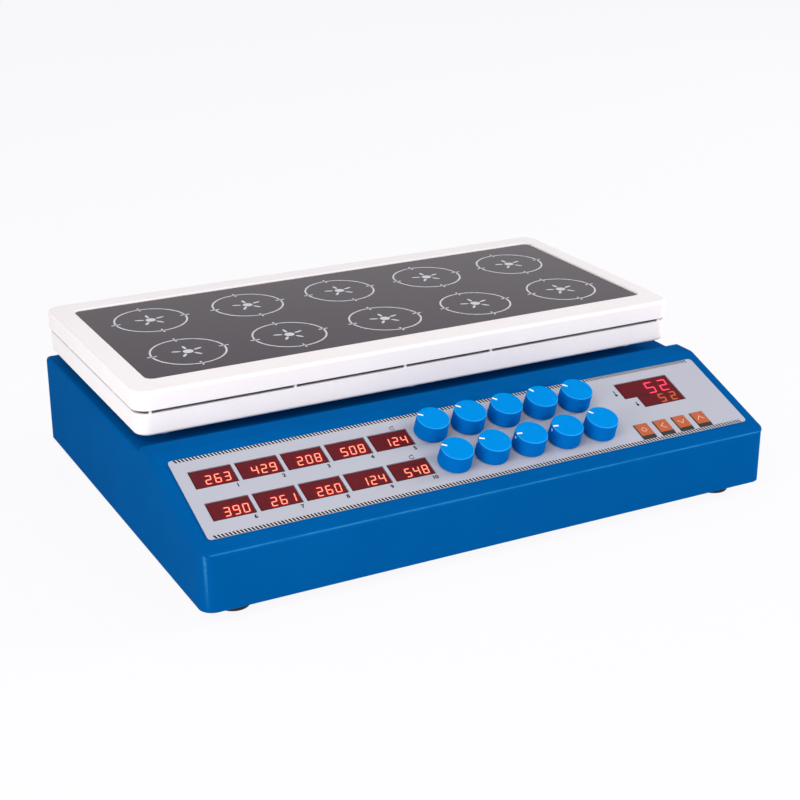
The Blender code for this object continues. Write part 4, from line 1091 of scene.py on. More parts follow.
    def build(self, panel: "Panel", rear: "PowerInlet", tray: "Tray") -> None:
        """Make the shell, the feet and the screws."""
        shell = combine(self.shell(), "DIFFERENCE", self.openings(panel, rear, tray))
        # the front folds carry a painted highlight
        add_piece("housing_cover", self.highlighted(smoothed(shell, 30.0)), BLUE_PAINT, replaces=["housing_shell"])
        for name, place in self.feet.items():
            add_piece(f"rubber_foot_{name}", self.foot(place), RUBBER, replaces=[f"foot_{name}"])
        recess_top = self.foot_recess[-1][1]
        foot_screws = [moved(self.screw(*self.foot_screw), Matrix.Translation((*place, recess_top)))
                       for place in self.feet.values()]
        add_piece("foot_screws", joined(foot_screws), ZINC)
        columns, rows = self.plate_screws
        across, along = self.plate_screw_steps
        lids = repeated(self.screw(*self.plate_screw), Pattern.GRID, ZINC, Columns=columns, Rows=rows,
                        Start=(*self.plate_screw_start, self.base), Column_Step=(across, 0.0, 0.0),
                        Row_Step=(0.0, along, 0.0))
        add_piece("base_plate_screws", lids, ZINC)


# Panel
@dataclass(frozen=True)
class Digits:
    """Seven-segment numerals on one display."""

    height: float
    width: float
    pitch: float
    line: float
    lean: float = math.radians(8.0)

    ENDS: ClassVar[dict[str, tuple[tuple[int, int], tuple[int, int]]]] = {
        "a": ((0, 2), (1, 2)), "b": ((1, 2), (1, 1)), "c": ((1, 1), (1, 0)), "d": ((0, 0), (1, 0)),
        "e": ((0, 1), (0, 0)), "f": ((0, 2), (0, 1)), "g": ((0, 1), (1, 1))}
    LIT: ClassVar[dict[str, str]] = {
        "0": "abcdef", "1": "bc", "2": "abged", "3": "abgcd", "4": "fgbc", "5": "afgcd", "6": "afgedc",
        "7": "abc", "8": "abcdefg", "9": "abcdfg"}

    def segments(self, text: str, last: Point) -> list[tuple[Vector, Vector]]:
        """Return the middle lines of the lit segments.

        Args:
            text: The reading.
            last: The middle of its last numeral.
        """
        lines = []
        for index, numeral in enumerate(text):
            x = last[0] - (len(text) - 1 - index) * self.pitch
            for name in self.LIT[numeral]:
                ends = []
                for column, row in self.ENDS[name]:
                    up = (row - 1) * (self.height - self.line) / 2
                    across = (column - 0.5) * (self.width - self.line) + up * math.tan(self.lean)
                    ends.append(Vector((x + across, last[1] + up)))
                lines.append((ends[0], ends[1]))
        return lines

    def mesh(self, text: str, last: Point, low: float, high: float) -> bpy.types.Mesh:
        """Return the lit segments as thin solids with a ridge mask along their middles.

        Args:
            text: The reading.
            last: The middle of its last numeral.
            low: Height of the segments' underside.
            high: Height of their top.
        """
        bm = bmesh.new()
        core = bm.verts.layers.float.new("core")
        gap = self.line * 0.08
        for start, stop in self.segments(text, last):
            along = (stop - start).normalized()
            across = Vector((-along.y, along.x)) * (self.line / 2)
            tip = along * (self.line / 2)
            first, final = start + along * gap, stop - along * gap
            rim = [first, first + tip - across, final - tip - across, final, final - tip + across,
                   first + tip + across]
            top = [bm.verts.new((p.x, p.y, high)) for p in rim]
            under = [bm.verts.new((p.x, p.y, low)) for p in rim]
            ridge = [bm.verts.new((p.x, p.y, high)) for p in (first + tip, final - tip)]
            for vert in ridge:
                vert[core] = 1.0
            near, away = ridge
            for corners in ((top[0], top[1], near), (top[1], top[2], away, near), (top[2], top[3], away),
                            (top[3], top[4], away), (top[4], top[5], near, away), (top[5], top[0], near)):
                bm.faces.new(corners)
            bm.faces.new(under[::-1])
            band(bm, under, top)
        bmesh.ops.recalc_face_normals(bm, faces=bm.faces)
        return made_mesh(bm, "digits")


@dataclass
class Panel:
    """The film's prints, the speed displays and the temperature display."""

    display_width: float = 0.0304
    display_height: float = 0.0166
    display_depth: float = 0.0080
    display_top: float = 0.0006      # windows' faces over the sheet
    columns: tuple[float, ...] = (-0.44345, -0.36641, -0.28936, -0.21232, -0.13528)
    rows: tuple[float, ...] = (0.7119, 0.3057)
    readings: tuple[str, ...] = ("263", "429", "208", "508", "124", "390", "261", "260", "124", "548")
    temperature_right: float = 0.42396
    temperature_base: float = 0.4667
    process_size: Point = (0.0484, 0.0169)
    setpoint_size: Point = (0.0375, 0.0126)
    speed_digits: Digits = Digits(0.0086, 0.0046, 0.0069, 0.0008)
    speed_last: tuple[Point, ...] = ((0.0057, 0.0020), (0.0050, 0.0026))    # from the right, down; by row
    process_digits: Digits = Digits(0.0125, 0.0074, 0.0124, 0.0009)
    process_last: Point = (0.0402, -0.0017)      # last numeral's middle from its part's left and middle
    setpoint_digits: Digits = Digits(0.0092, 0.0054, 0.0104, 0.0009)
    setpoint_last: Point = (0.0300, -0.0004)
    temperature_reading: str = "52"
    speed_glow: float = 0.0009       # distance at which a digit's glow has mostly gone
    temperature_glow: float = 0.0011
    glow_cell: float = 0.0006
    glow_peak: float = 0.55
    ink: float = 0.00004             # prints' thickness
    divider: float = 0.0007
    outline_gap: float = 0.00031
    outline: float = 0.0003          # dark line round a window
    knob_hole: float = 0.0036
    hatch_pitch: float = 0.0027
    hatch_height: float = 0.0030
    hatch_inset: float = 0.0040
    hatch_edge: float = 0.0001
    hatch_lean: float = 0.45         # share of the ticks' height
    hatch_dark: float = 0.62         # share of the pitch
    number_height: float = 0.0032
    number_offset: Point = (0.0018, 0.0042)
    arrow_offset: Point = (0.0062, 0.0034)
    arrow_radius: float = 0.0017
    arrow_line: float = 0.0005
    arrow_tip: tuple[Point, ...] = ((0.0018, 0.0022), (0.0002, 0.0023), (0.0013, 0.0006))
    bulb_radius: float = 0.0012
    bulb_drop: float = 0.0016
    stem_drop: float = 0.0010
    stem_width: float = 0.0009
    thermometer_left: float = 0.0050
    thermometers: tuple[Point, ...] = ((0.0072, 0.0042), (0.0052, 0.0026))  # height over base, stem's length

    def display_places(self) -> list[Point]:
        """Return the middles of the speed displays, the upper row first."""
        return [SLOPE.on_panel(column, row) for row in self.rows for column in self.columns]

    def temperature_outline(self, margin: float) -> Outline:
        """Return the stepped outline of the temperature display, grown by a margin."""
        edge, base = SLOPE.on_panel(self.temperature_right, self.temperature_base)
        step = base + self.setpoint_size[1]
        high = step + self.process_size[1]
        short, long = edge - self.setpoint_size[0], edge - self.process_size[0]
        return [(short - margin, base - margin), (edge + margin, base - margin),
                (edge + margin, high + margin), (long - margin, high + margin),
                (long - margin, step - margin), (short - margin, step - margin)]

    def openings(self, margin: float) -> list[Outline]:
        """Return the outlines of all that passes through the housing's slope."""
        width, height = self.display_width + 2 * margin, self.display_height + 2 * margin
        outlines = [rectangle(width, height, place) for place in self.display_places()]
        outlines.append(self.temperature_outline(margin))
        outlines += [circle(self.knob_hole, HOLE_SIDES, place) for place in Knobs().places()]
        keys = Keys()
        width, height = keys.width + 2 * margin, keys.height + 2 * margin
        return outlines + [rectangle(width, height, place) for place in keys.places()]

    def window(self, outline: Outline, lit: Sequence[tuple[Vector, Vector]], reach: float) -> bpy.types.Mesh:
        """Return a window block whose top carries the glow of the digits behind it.

        Args:
            outline: Its outline, with square corners.
            lit: The middle lines of the lit segments.
            reach: Distance at which the glow has mostly gone.
        """
        def lines(stops: list[float]) -> list[float]:
            """Return the grid's lines through the stops."""
            found = [stops[0]]
            for first, second in zip(stops, stops[1:]):
                count = max(1, round((second - first) / self.glow_cell))
                found += [first + (second - first) * (step + 1) / count for step in range(count)]
            return found

        def inside(x: float, y: float) -> bool:
            """Say whether a point lies in the outline."""
            odd = False
            for (x0, y0), (x1, y1) in zip(outline, outline[1:] + outline[:1]):
                if (y0 > y) != (y1 > y) and x < x0 + (y - y0) * (x1 - x0) / (y1 - y0):
                    odd = not odd
            return odd

        bm = bmesh.new()
        layer = bm.verts.layers.float.new("glow")
        verts: dict[tuple[int, int], bmesh.types.BMVert] = {}
        grid_x, grid_y = (lines(sorted({point[axis] for point in outline})) for axis in (0, 1))
        for i, (x0, x1) in enumerate(zip(grid_x, grid_x[1:])):
            for j, (y0, y1) in enumerate(zip(grid_y, grid_y[1:])):
                if not inside((x0 + x1) / 2, (y0 + y1) / 2):
                    continue
                corners = []
                for a, b in ((i, j), (i + 1, j), (i + 1, j + 1), (i, j + 1)):
                    if (a, b) not in verts:
                        verts[a, b] = bm.verts.new((grid_x[a], grid_y[b], self.display_top))
                    corners.append(verts[a, b])
                bm.faces.new(corners)
        for vert in bm.verts:
            point = Vector(vert.co[:2])
            total = 0.0
            for first, second in lit:
                span = second - first
                share = min(1.0, max(0.0, (point - first).dot(span) / span.length_squared))
                total += math.exp(-(((point - first - span * share).length / reach) ** 2))
            vert[layer] = min(1.0, total * self.glow_peak)
        top = list(bm.faces)
        sunk = bmesh.ops.extrude_face_region(bm, geom=top, use_keep_orig=True)
        low = [item for item in sunk["geom"] if isinstance(item, bmesh.types.BMVert)]
        bmesh.ops.translate(bm, verts=low, vec=(0.0, 0.0, -self.display_depth))
        for vert in low:
            vert[layer] = 0.0
        bmesh.ops.recalc_face_normals(bm, faces=bm.faces)
        return made_mesh(bm, "window")

    def build_speed_displays(self) -> None:
        """Make the ten speed displays and their digits."""
        digits, top = self.speed_digits, self.display_top
        for index, ((x, s), text) in enumerate(zip(self.display_places(), self.readings)):
            inset, drop = self.speed_last[index // len(self.columns)]
            last = (x + self.display_width / 2 - inset, s - drop)
            number = f"{index + 1:02d}"
            outline = rectangle(self.display_width, self.display_height, (x, s))
            window = self.window(outline, digits.segments(text, last), self.speed_glow)
            add_piece(f"speed_window_{number}", moved(window, SLOPE.at()), RED_WINDOW,
                      replaces=[f"speed_display_{number}"])
            mesh = moved(digits.mesh(text, last, top, top + self.ink), SLOPE.at())
            add_piece(f"speed_digits_{number}", mesh, SPEED_DIGIT)

    def build_temperature_display(self) -> None:
        """Make the temperature display, its two readings and the bar between them."""
        edge, base = SLOPE.on_panel(self.temperature_right, self.temperature_base)
        step, top = base + self.setpoint_size[1], self.display_top
        parts = []
        for name, digits, low, size, offset, finish in (
                ("process_digits", self.process_digits, step, self.process_size, self.process_last,
                 PROCESS_DIGIT),
                ("setpoint_digits", self.setpoint_digits, base, self.setpoint_size, self.setpoint_last,
                 SETPOINT_DIGIT)):
            last = (edge - size[0] + offset[0], low + size[1] / 2 + offset[1])
            parts.append((name, digits, last, finish))
        lit = [line for _, digits, last, _ in parts
               for line in digits.segments(self.temperature_reading, last)]
        window = self.window(self.temperature_outline(0.0), lit, self.temperature_glow)
        add_piece("temperature_window", moved(window, SLOPE.at()), RED_WINDOW,
                  replaces=["temperature_display"])
        for name, digits, last, finish in parts:
            mesh = digits.mesh(self.temperature_reading, last, top, top + self.ink)
            add_piece(name, moved(mesh, SLOPE.at()), finish)
        middle = ((edge - self.setpoint_size[0] + edge) / 2, step)
        bar = plate([rectangle(self.setpoint_size[0], self.divider, middle)], top, top + self.ink)
        add_piece("temperature_divider", moved(bar, SLOPE.at()), INK)

    def frames(self) -> list[Outline]:
        """Return the dark lines round the windows."""
        inner, outer = self.outline_gap, self.outline_gap + self.outline
        outlines = [rectangle(self.display_width + 2 * margin, self.display_height + 2 * margin, place)
                    for place in self.display_places() for margin in (inner, outer)]
        return outlines + [self.temperature_outline(inner), self.temperature_outline(outer)]

    def marks(self) -> list[bpy.types.Mesh]:
        """Return the numbers of the displays and the plain signs beside them."""
        low, high = SLOPE.film_top, SLOPE.film_top + self.ink
        right, under = self.number_offset
        found = []
        for index, (x, s) in enumerate(self.display_places()):
            place = (x + self.display_width / 2 - right, s - self.display_height / 2 - under, 0.0)
            number = lettering(str(index + 1), self.number_height, low, high, 0.06)
            found.append(moved(number, Matrix.Translation(place)))
        for x, s in self.display_places()[len(self.columns) - 1::len(self.columns)]:
            x, s = x + self.arrow_offset[0], s + self.display_height / 2 + self.arrow_offset[1]
            bend = arc(x, s, self.arrow_radius, math.radians(60), math.radians(280), 14)
            turn = stroke(bend, self.arrow_line)
            found += [plate(turn, low, high), plate([[(x + i, s + j) for i, j in self.arrow_tip]], low, high)]
        edge, base = SLOPE.on_panel(self.temperature_right, self.temperature_base)
        starts = ((edge - self.process_size[0], base + self.setpoint_size[1]),
                  (edge - self.setpoint_size[0], base))
        for (left, start), (height, length) in zip(starts, self.thermometers):
            x, s = left - self.thermometer_left, start + height
            foot = s - self.stem_drop
            stem = stroke([(x, foot), (x, foot + length)], self.stem_width)
            found += [plate([circle(self.bulb_radius, 16, (x, s - self.bulb_drop))], low, high),
                      plate(stem, low, high)]
        return found

    def build_prints(self) -> None:
        """Make the prints on the film."""
        low, high = SLOPE.film_top, SLOPE.film_top + self.ink
        place = SLOPE.at()
        add_piece("window_outlines", moved(plate(self.frames(), low, high), place), INK)
        add_piece("panel_marks", moved(joined(self.marks()), place), INK)
        pitch, height, dark = self.hatch_pitch, self.hatch_height, self.hatch_dark
        count = int((SLOPE.panel_width - 2 * self.hatch_inset) / pitch)
        left, lean = -count * pitch / 2, height * self.hatch_lean
        for name, edge in (("upper", SLOPE.panel_low + SLOPE.panel_height - height - self.hatch_edge),
                           ("lower", SLOPE.panel_low + self.hatch_edge)):
            for shade, finish, offset, share in (("dark", INK, 0.0, dark),
                                                 ("pale", PALE_INK, dark, 1.0 - dark)):
                width = pitch * share
                tick = plate([[(0.0, 0.0), (width, 0.0), (width - lean, height), (-lean, height)]], low, high)
                row = repeated(tick, Pattern.GRID, finish, Columns=count, Column_Step=(pitch, 0.0, 0.0),
                               Start=(left + offset * pitch + lean / 2, edge, 0.0))
                add_piece(f"hatch_{name}_{shade}", moved(row, place), finish)

    def build(self) -> None:
        """Make the displays and the prints."""
        self.build_speed_displays()
        self.build_temperature_display()
        self.build_prints()


# Knobs and keys
@dataclass
class Knobs:
    """The ten speed knobs and their pointers."""

    radius: float = 0.0126
    draft: float = 0.0004
    top: float = 0.0147
    foot: float = 0.0013
    edge: float = 0.0011
    wall: float = 0.0022
    roof: float = 0.0035
    hub: float = 0.0048
    spindle: float = 0.0030
    tip: float = -0.0067
    steps: int = 96
    pointer_width: float = 0.0015
    pointer_length: float = 0.0046
    pointer_drop: float = 0.0036     # how far the pointer runs down the side
    groove: float = 0.0003
    foot_edge: float = 0.0003
    fill_drop: float = 0.00006       # the fill's face under the knob's
    fill_gap: float = 0.00001
    fill_depth: float = 0.85         # share of the groove's depth
    columns: tuple[float, ...] = (-0.06316, 0.00672, 0.07660, 0.14647, 0.21635)
    rows: tuple[float, ...] = (0.7157, 0.2792)
    shifts: tuple[float, ...] = (0.0, 0.0040)     # each row's shift to the right, of the panel's width
    angles: tuple[int, ...] = (145, 137, 135, 122, 140, 146, 154, 172, 173, 130)

    def places(self) -> list[Point]:
        """Return the knobs' axes, the upper row first."""
        return [SLOPE.on_panel(column + shift, row) for row, shift in zip(self.rows, self.shifts)
                for column in self.columns]

    def cap(self) -> bpy.types.Mesh:
        """Return a knob with the groove of its pointer along +X."""
        rim = self.radius - self.draft
        shoulder = arc(rim - self.edge, self.top - self.edge, self.edge, math.pi / 2, -math.pi / 2, 8)
        roof = self.top - self.roof
        inner = self.radius - self.wall
        profile = [(0.0, self.top), (rim * 0.5, self.top)] + shoulder
        profile += [(self.radius, self.foot + self.foot_edge), (self.radius - self.foot_edge, self.foot),
                    (inner, self.foot), (inner, roof), (self.hub, roof), (self.hub, self.foot),
                    (self.spindle, self.foot), (self.spindle, self.tip), (0.0, self.tip)]
        half, out = self.pointer_width / 2, self.radius + OVERRUN
        across = block((rim - self.pointer_length, -half, self.top - self.groove),
                       (out, half, self.top + OVERRUN))
        down = block((self.radius - self.groove - 0.0001, -half, self.top - self.edge - self.pointer_drop),
                     (out, half, self.top + OVERRUN / 2))
        knob = smoothed(combine(turned(profile, self.steps), "DIFFERENCE", [across, down]), 32.0)
        # share down the rounded edge: it places the painted highlight and the side wall's painted shade
        side = knob.attributes.new("side", "FLOAT", "POINT")
        for vert, item in zip(knob.vertices, side.data):
            item.value = min(1.0, max(0.0, (self.top - vert.co.z) / self.edge))
        return knob

    def pointer(self) -> bpy.types.Mesh:
        """Return the white fill of the pointer's groove along +X."""
        rim, under = self.radius - self.draft, self.fill_drop
        half = self.pointer_width / 2 - self.fill_gap
        start = rim - self.pointer_length + 2 * self.fill_gap
        outer = [(start, self.top - under)]
        outer += [(x - under * 0.7, z - under * 0.7) for x, z in
                  arc(rim - self.edge, self.top - self.edge, self.edge, math.pi / 2, -math.pi / 2, 6)]
        foot = self.top - self.edge - self.pointer_drop
        taper = self.draft * (1 - self.pointer_drop / (self.top - self.foot))
        outer.append((self.radius - under - taper, foot))
        depth = self.groove * self.fill_depth
        inner = [(start, self.top - depth), (rim - self.edge * 0.6, self.top - depth),
                 (rim - depth * 1.2, self.top - self.edge), (rim - depth, foot)]
        bm = bmesh.new()
        near, far = ([bm.verts.new((x, y, z)) for x, z in outer + inner[::-1]] for y in (-half, half))
        bm.faces.new(near)
        bm.faces.new(far[::-1])
        band(bm, near, far)
        return smoothed(mesh_of(bm, "pointer"), 40.0)

    def build(self) -> None:
        """Make the knobs and their pointers."""
        cap, pointer = self.cap(), self.pointer()
        for index, ((x, s), angle) in enumerate(zip(self.places(), self.angles)):
            number = f"{index + 1:02d}"
            place = SLOPE.at(x, s, 0.0, math.radians(angle))
            add_piece(f"knob_cap_{number}", moved(cap.copy(), place), KNOB_BLUE, f"knob_{number}",
                      [f"speed_knob_{number}"])
            add_piece(f"knob_pointer_{number}", moved(pointer.copy(), place), POINTER_WHITE, f"knob_{number}")


@dataclass
class Keys:
    """The four keys: a black frame with an orange pad and a pale sign."""

    width: float = 0.0120
    height: float = 0.0163
    face: float = 0.0013         # pad's face over the sheet
    frame_face: float = 0.0011
    flange: float = 0.0010
    flange_top: float = -0.0018
    stem_radius: float = 0.0018
    stem_low: float = -0.0050
    strip: float = 0.0034        # black strip below the pad
    border: float = 0.0004
    corner: float = 0.0008
    pad_corner: float = 0.0006
    pad_edge: tuple[Point, ...] = ((0.0, 0.00008), (0.00006, 0.00002), (0.0002, 0.0))   # inset and drop
    line: float = 0.0005
    ring: float = 0.0022
    sign_size: Point = (0.0028, 0.0019)
    names: tuple[str, ...] = ("key_mode", "key_shift", "key_down", "key_up")
    columns: tuple[float, ...] = (0.30123, 0.34043, 0.37962, 0.41881)
    row: float = 0.1485

    def places(self) -> list[Point]:
        """Return the keys' middles."""
        return [SLOPE.on_panel(column, self.row) for column in self.columns]

    def sign(self, name: str, centre: Point) -> list[Outline]:
        """Return the outlines of a key's sign."""
        x, y = centre
        wide, high = self.sign_size
        if name == "key_mode":
            return [circle(self.ring, 28, centre), circle(self.ring - self.line, 28, centre)]
        corners = {"key_shift": [(x + high, y + wide), (x - high, y), (x + high, y - wide)],
                   "key_down": [(x - wide, y + high), (x, y - high), (x + wide, y + high)],
                   "key_up": [(x - wide, y - high), (x, y + high), (x + wide, y - high)]}
        return stroke(corners[name], self.line)

    def build(self) -> None:
        """Make the keys."""
        low = self.flange_top - self.flange
        middle = (0.0, (self.strip - self.border) / 2)
        width, height = self.width - 2 * self.border, self.height - self.strip - self.border
        levels = [(0.0, self.frame_face - 0.0001)]
        levels += [(inset, self.face - drop) for inset, drop in self.pad_edge]
        for name, (x, s) in zip(self.names, self.places()):
            place = SLOPE.at(x, s)
            frame = plate([rounded(self.width, self.height, self.corner, steps=4)], low + 0.0002,
                          self.frame_face)
            flange = plate([rectangle(self.width + 2 * self.flange, self.height + 2 * self.flange)], low,
                           self.flange_top)
            stem = plate([circle(self.stem_radius, 24)], self.stem_low, low + self.flange / 2)
            body = softened(combine(frame, "UNION", [flange, stem]), 0.00015, 2)
            add_piece(f"{name}_frame", moved(smoothed(body), place), BLACK_PLASTIC, name, [name])
            pad = loft([(rounded(width - inset, height - inset, self.pad_corner, middle, 4), z)
                        for inset, z in levels])
            add_piece(f"{name}_pad", moved(smoothed(pad), place), KEY_ORANGE, name)
            sign = plate(self.sign(name, middle), self.face - 0.00001, self.face + 0.00003)
            add_piece(f"{name}_sign", moved(sign, place), KEY_MARK, name)


# Heating tray
@dataclass
class Tray:
    """The white tray, the frame over it and the printed glass."""

    middle_x: float = -0.0010
    middle_y: float = 0.05815
    frame_width: float = 0.4615
    frame_depth: float = 0.2207
    frame_low: float = 0.1090
    frame_top: float = 0.1236
    frame_corner: float = 0.0125
    edge: float = 0.0025
    edge_steps: int = 8
    skin: float = 0.0030
    tray_inset: float = 0.0015
    tray_low: float = 0.0895
    tray_high: float = 0.1063
    wall: float = 0.0030
    floor: float = 0.0020
    glass_x: float = 0.0007
    glass_y: float = 0.0609
    glass_width: float = 0.4285
    glass_depth: float = 0.1766
    glass_corner: float = 0.0060
    glass_low: float = 0.1184
    glass_top: float = 0.1224
    lip: float = 0.0055
    gap: float = 0.0003
    columns: tuple[float, ...] = (-0.38740, -0.19370, 0.0, 0.19370, 0.38740)
    rows: tuple[float, ...] = (-0.235, 0.235)
    places_forward: float = 0.0013
    peg_shares: tuple[float, ...] = (-0.478, -0.234, -0.035, 0.130, 0.478)
    side_peg_shares: tuple[float, ...] = (-0.25, 0.25)
    peg_radius: float = 0.0012
    pillar_inset: float = 0.0270
    pillar_low: float = 0.0813
    pillar_radius: float = 0.0070
    sunk: float = 0.0001         # how far posts run into what they join
    print_lift: float = 0.00002
    frame_chamfer: float = 0.0004
    inner_edge: tuple[Point, ...] = ((0.0009, 0.0), (0.0005, 0.0001), (0.0001, 0.0005), (0.0, 0.0008))
    rim_edge: tuple[Point, ...] = ((0.0, 0.0008), (0.0002, 0.0002), (0.0008, 0.0))      # inset and drop
    glass_edge: tuple[Point, ...] = ((0.0, 0.0006), (0.00018, 0.00018), (0.0006, 0.0))

    def places(self) -> list[Point]:
        """Return the axes of the stirring places, the front row first."""
        middle = self.glass_y - self.places_forward
        return [(self.glass_x + column * self.glass_width, middle + row * self.glass_depth)
                for row in self.rows for column in self.columns]

    def ring(self, inset: float) -> Outline:
        """Return the frame's outline, drawn in by an inset."""
        return rounded(self.frame_width - 2 * inset, self.frame_depth - 2 * inset, self.frame_corner - inset,
                       (self.middle_x, self.middle_y), 12)

    def opening(self, margin: float) -> Outline:
        """Return the glass's outline, grown by a margin."""
        return rounded(self.glass_width + 2 * margin, self.glass_depth + 2 * margin,
                       self.glass_corner + margin,
                       (self.glass_x, self.glass_y), 12)

    def corner_run(self, inset: float, z: float, radius: float, up: bool) -> list[tuple[Outline, float]]:
        """Return the sections round an outer edge, from the side to the face or back."""
        turns = [step / self.edge_steps * math.pi / 2 for step in range(self.edge_steps + 1)]
        way = -1 if up else 1
        return [(self.ring(inset + radius * (1 - math.cos(a))), z + way * (radius * (1 - math.sin(a))))
                for a in turns]

    def upper_frame(self) -> bpy.types.Mesh:
        """Return the frame that holds the glass."""
        seat, chamfer = self.glass_low - self.gap, self.frame_chamfer
        sections = [(self.ring(chamfer), self.frame_low), (self.ring(0.0), self.frame_low + chamfer)]
        sections += self.corner_run(0.0, self.frame_top, self.edge, True)
        sections += [(self.opening(self.gap + grow), self.frame_top - drop) for grow, drop in self.inner_edge]
        sections += [(self.opening(self.gap), seat), (self.opening(-self.lip), seat),
                     (self.opening(-self.lip), seat - self.skin), (self.ring(self.skin), seat - self.skin),
                     (self.ring(self.skin), self.frame_low)]
        return smoothed(loft(sections, closed=True), 35.0)

    def lower_tray(self) -> bpy.types.Mesh:
        """Return the tray with the holes of the shafts."""
        inset, inner, chamfer = self.tray_inset, self.tray_inset + self.wall, self.frame_chamfer
        sections = self.corner_run(inset, self.tray_low, self.edge, False)[::-1]
        sections += [(self.ring(inset + grow), self.tray_high - drop) for grow, drop in self.rim_edge]
        sections += [(self.ring(inner - chamfer), self.tray_high),
                     (self.ring(inner), self.tray_high - chamfer),
                     (self.ring(inner), self.tray_low + self.floor)]
        holes = plate([circle(SHAFT_HOLE_RADIUS, HOLE_SIDES, place) for place in self.places()],
                      self.tray_low - OVERRUN, self.tray_low + self.floor + OVERRUN)
        return smoothed(combine(loft(sections), "DIFFERENCE", [holes]), 35.0)

    def spacers(self) -> bpy.types.Mesh:
        """Return the small spacers that carry the frame on the tray's rim."""
        width, depth = self.frame_width - 2 * self.tray_inset, self.frame_depth - 2 * self.tray_inset
        half = self.wall / 2
        low = self.tray_high - self.sunk
        points = [(self.middle_x + share * width, self.middle_y + side * (depth / 2 - half), low)
                  for share in self.peg_shares for side in (-1, 1)]
        points += [(self.middle_x + side * (width / 2 - half), self.middle_y + share * depth, low)
                   for share in self.side_peg_shares for side in (-1, 1)]
        return repeated(points_mesh(points), Pattern.POSTS, WHITE_ENAMEL, Radius=self.peg_radius,
                        Height=self.frame_low - self.gap - low, Sides=20)

    def pillars(self) -> bpy.types.Mesh:
        """Return the pillars between the housing's deck and the tray."""
        reach_x = self.frame_width / 2 - self.tray_inset - self.pillar_inset
        reach_y = self.frame_depth / 2 - self.tray_inset - self.pillar_inset
        points = [(self.middle_x + share * reach_x, self.middle_y + side * reach_y, self.pillar_low)
                  for share in (-1, 0, 1) for side in (-1, 1)]
        return repeated(points_mesh(points), Pattern.POSTS, WHITE_ENAMEL, Radius=self.pillar_radius,
                        Height=self.tray_low - self.pillar_low + self.sunk, Sides=40)

    def glass(self) -> bpy.types.Mesh:
        """Return the glass with its ground edges."""
        chamfer = self.frame_chamfer
        sections = [(self.opening(-chamfer), self.glass_low), (self.opening(0.0), self.glass_low + chamfer)]
        sections += [(self.opening(-inset), self.glass_top - drop) for inset, drop in self.glass_edge]
        return smoothed(loft(sections), 30.0)

    def build(self) -> None:
        """Make the tray, its spacers and pillars, the frame, the glass and its prints."""
        add_piece("tray_pan", self.lower_tray(), WHITE_ENAMEL, replaces=["lower_tray"])
        add_piece("tray_spacers", self.spacers(), WHITE_ENAMEL)
        add_piece("tray_pillars", self.pillars(), WHITE_ENAMEL)
        add_piece("glass_frame", self.upper_frame(), WHITE_ENAMEL, replaces=["upper_frame"])
        add_piece("glass_top", self.glass(), GLASS, replaces=["glass_plate"])
        level = self.glass_top + self.print_lift
        prints = repeated(points_mesh([(x, y, level) for x, y in self.places()]), Pattern.RINGS, PRINT)
        add_piece("place_prints", prints, PRINT)


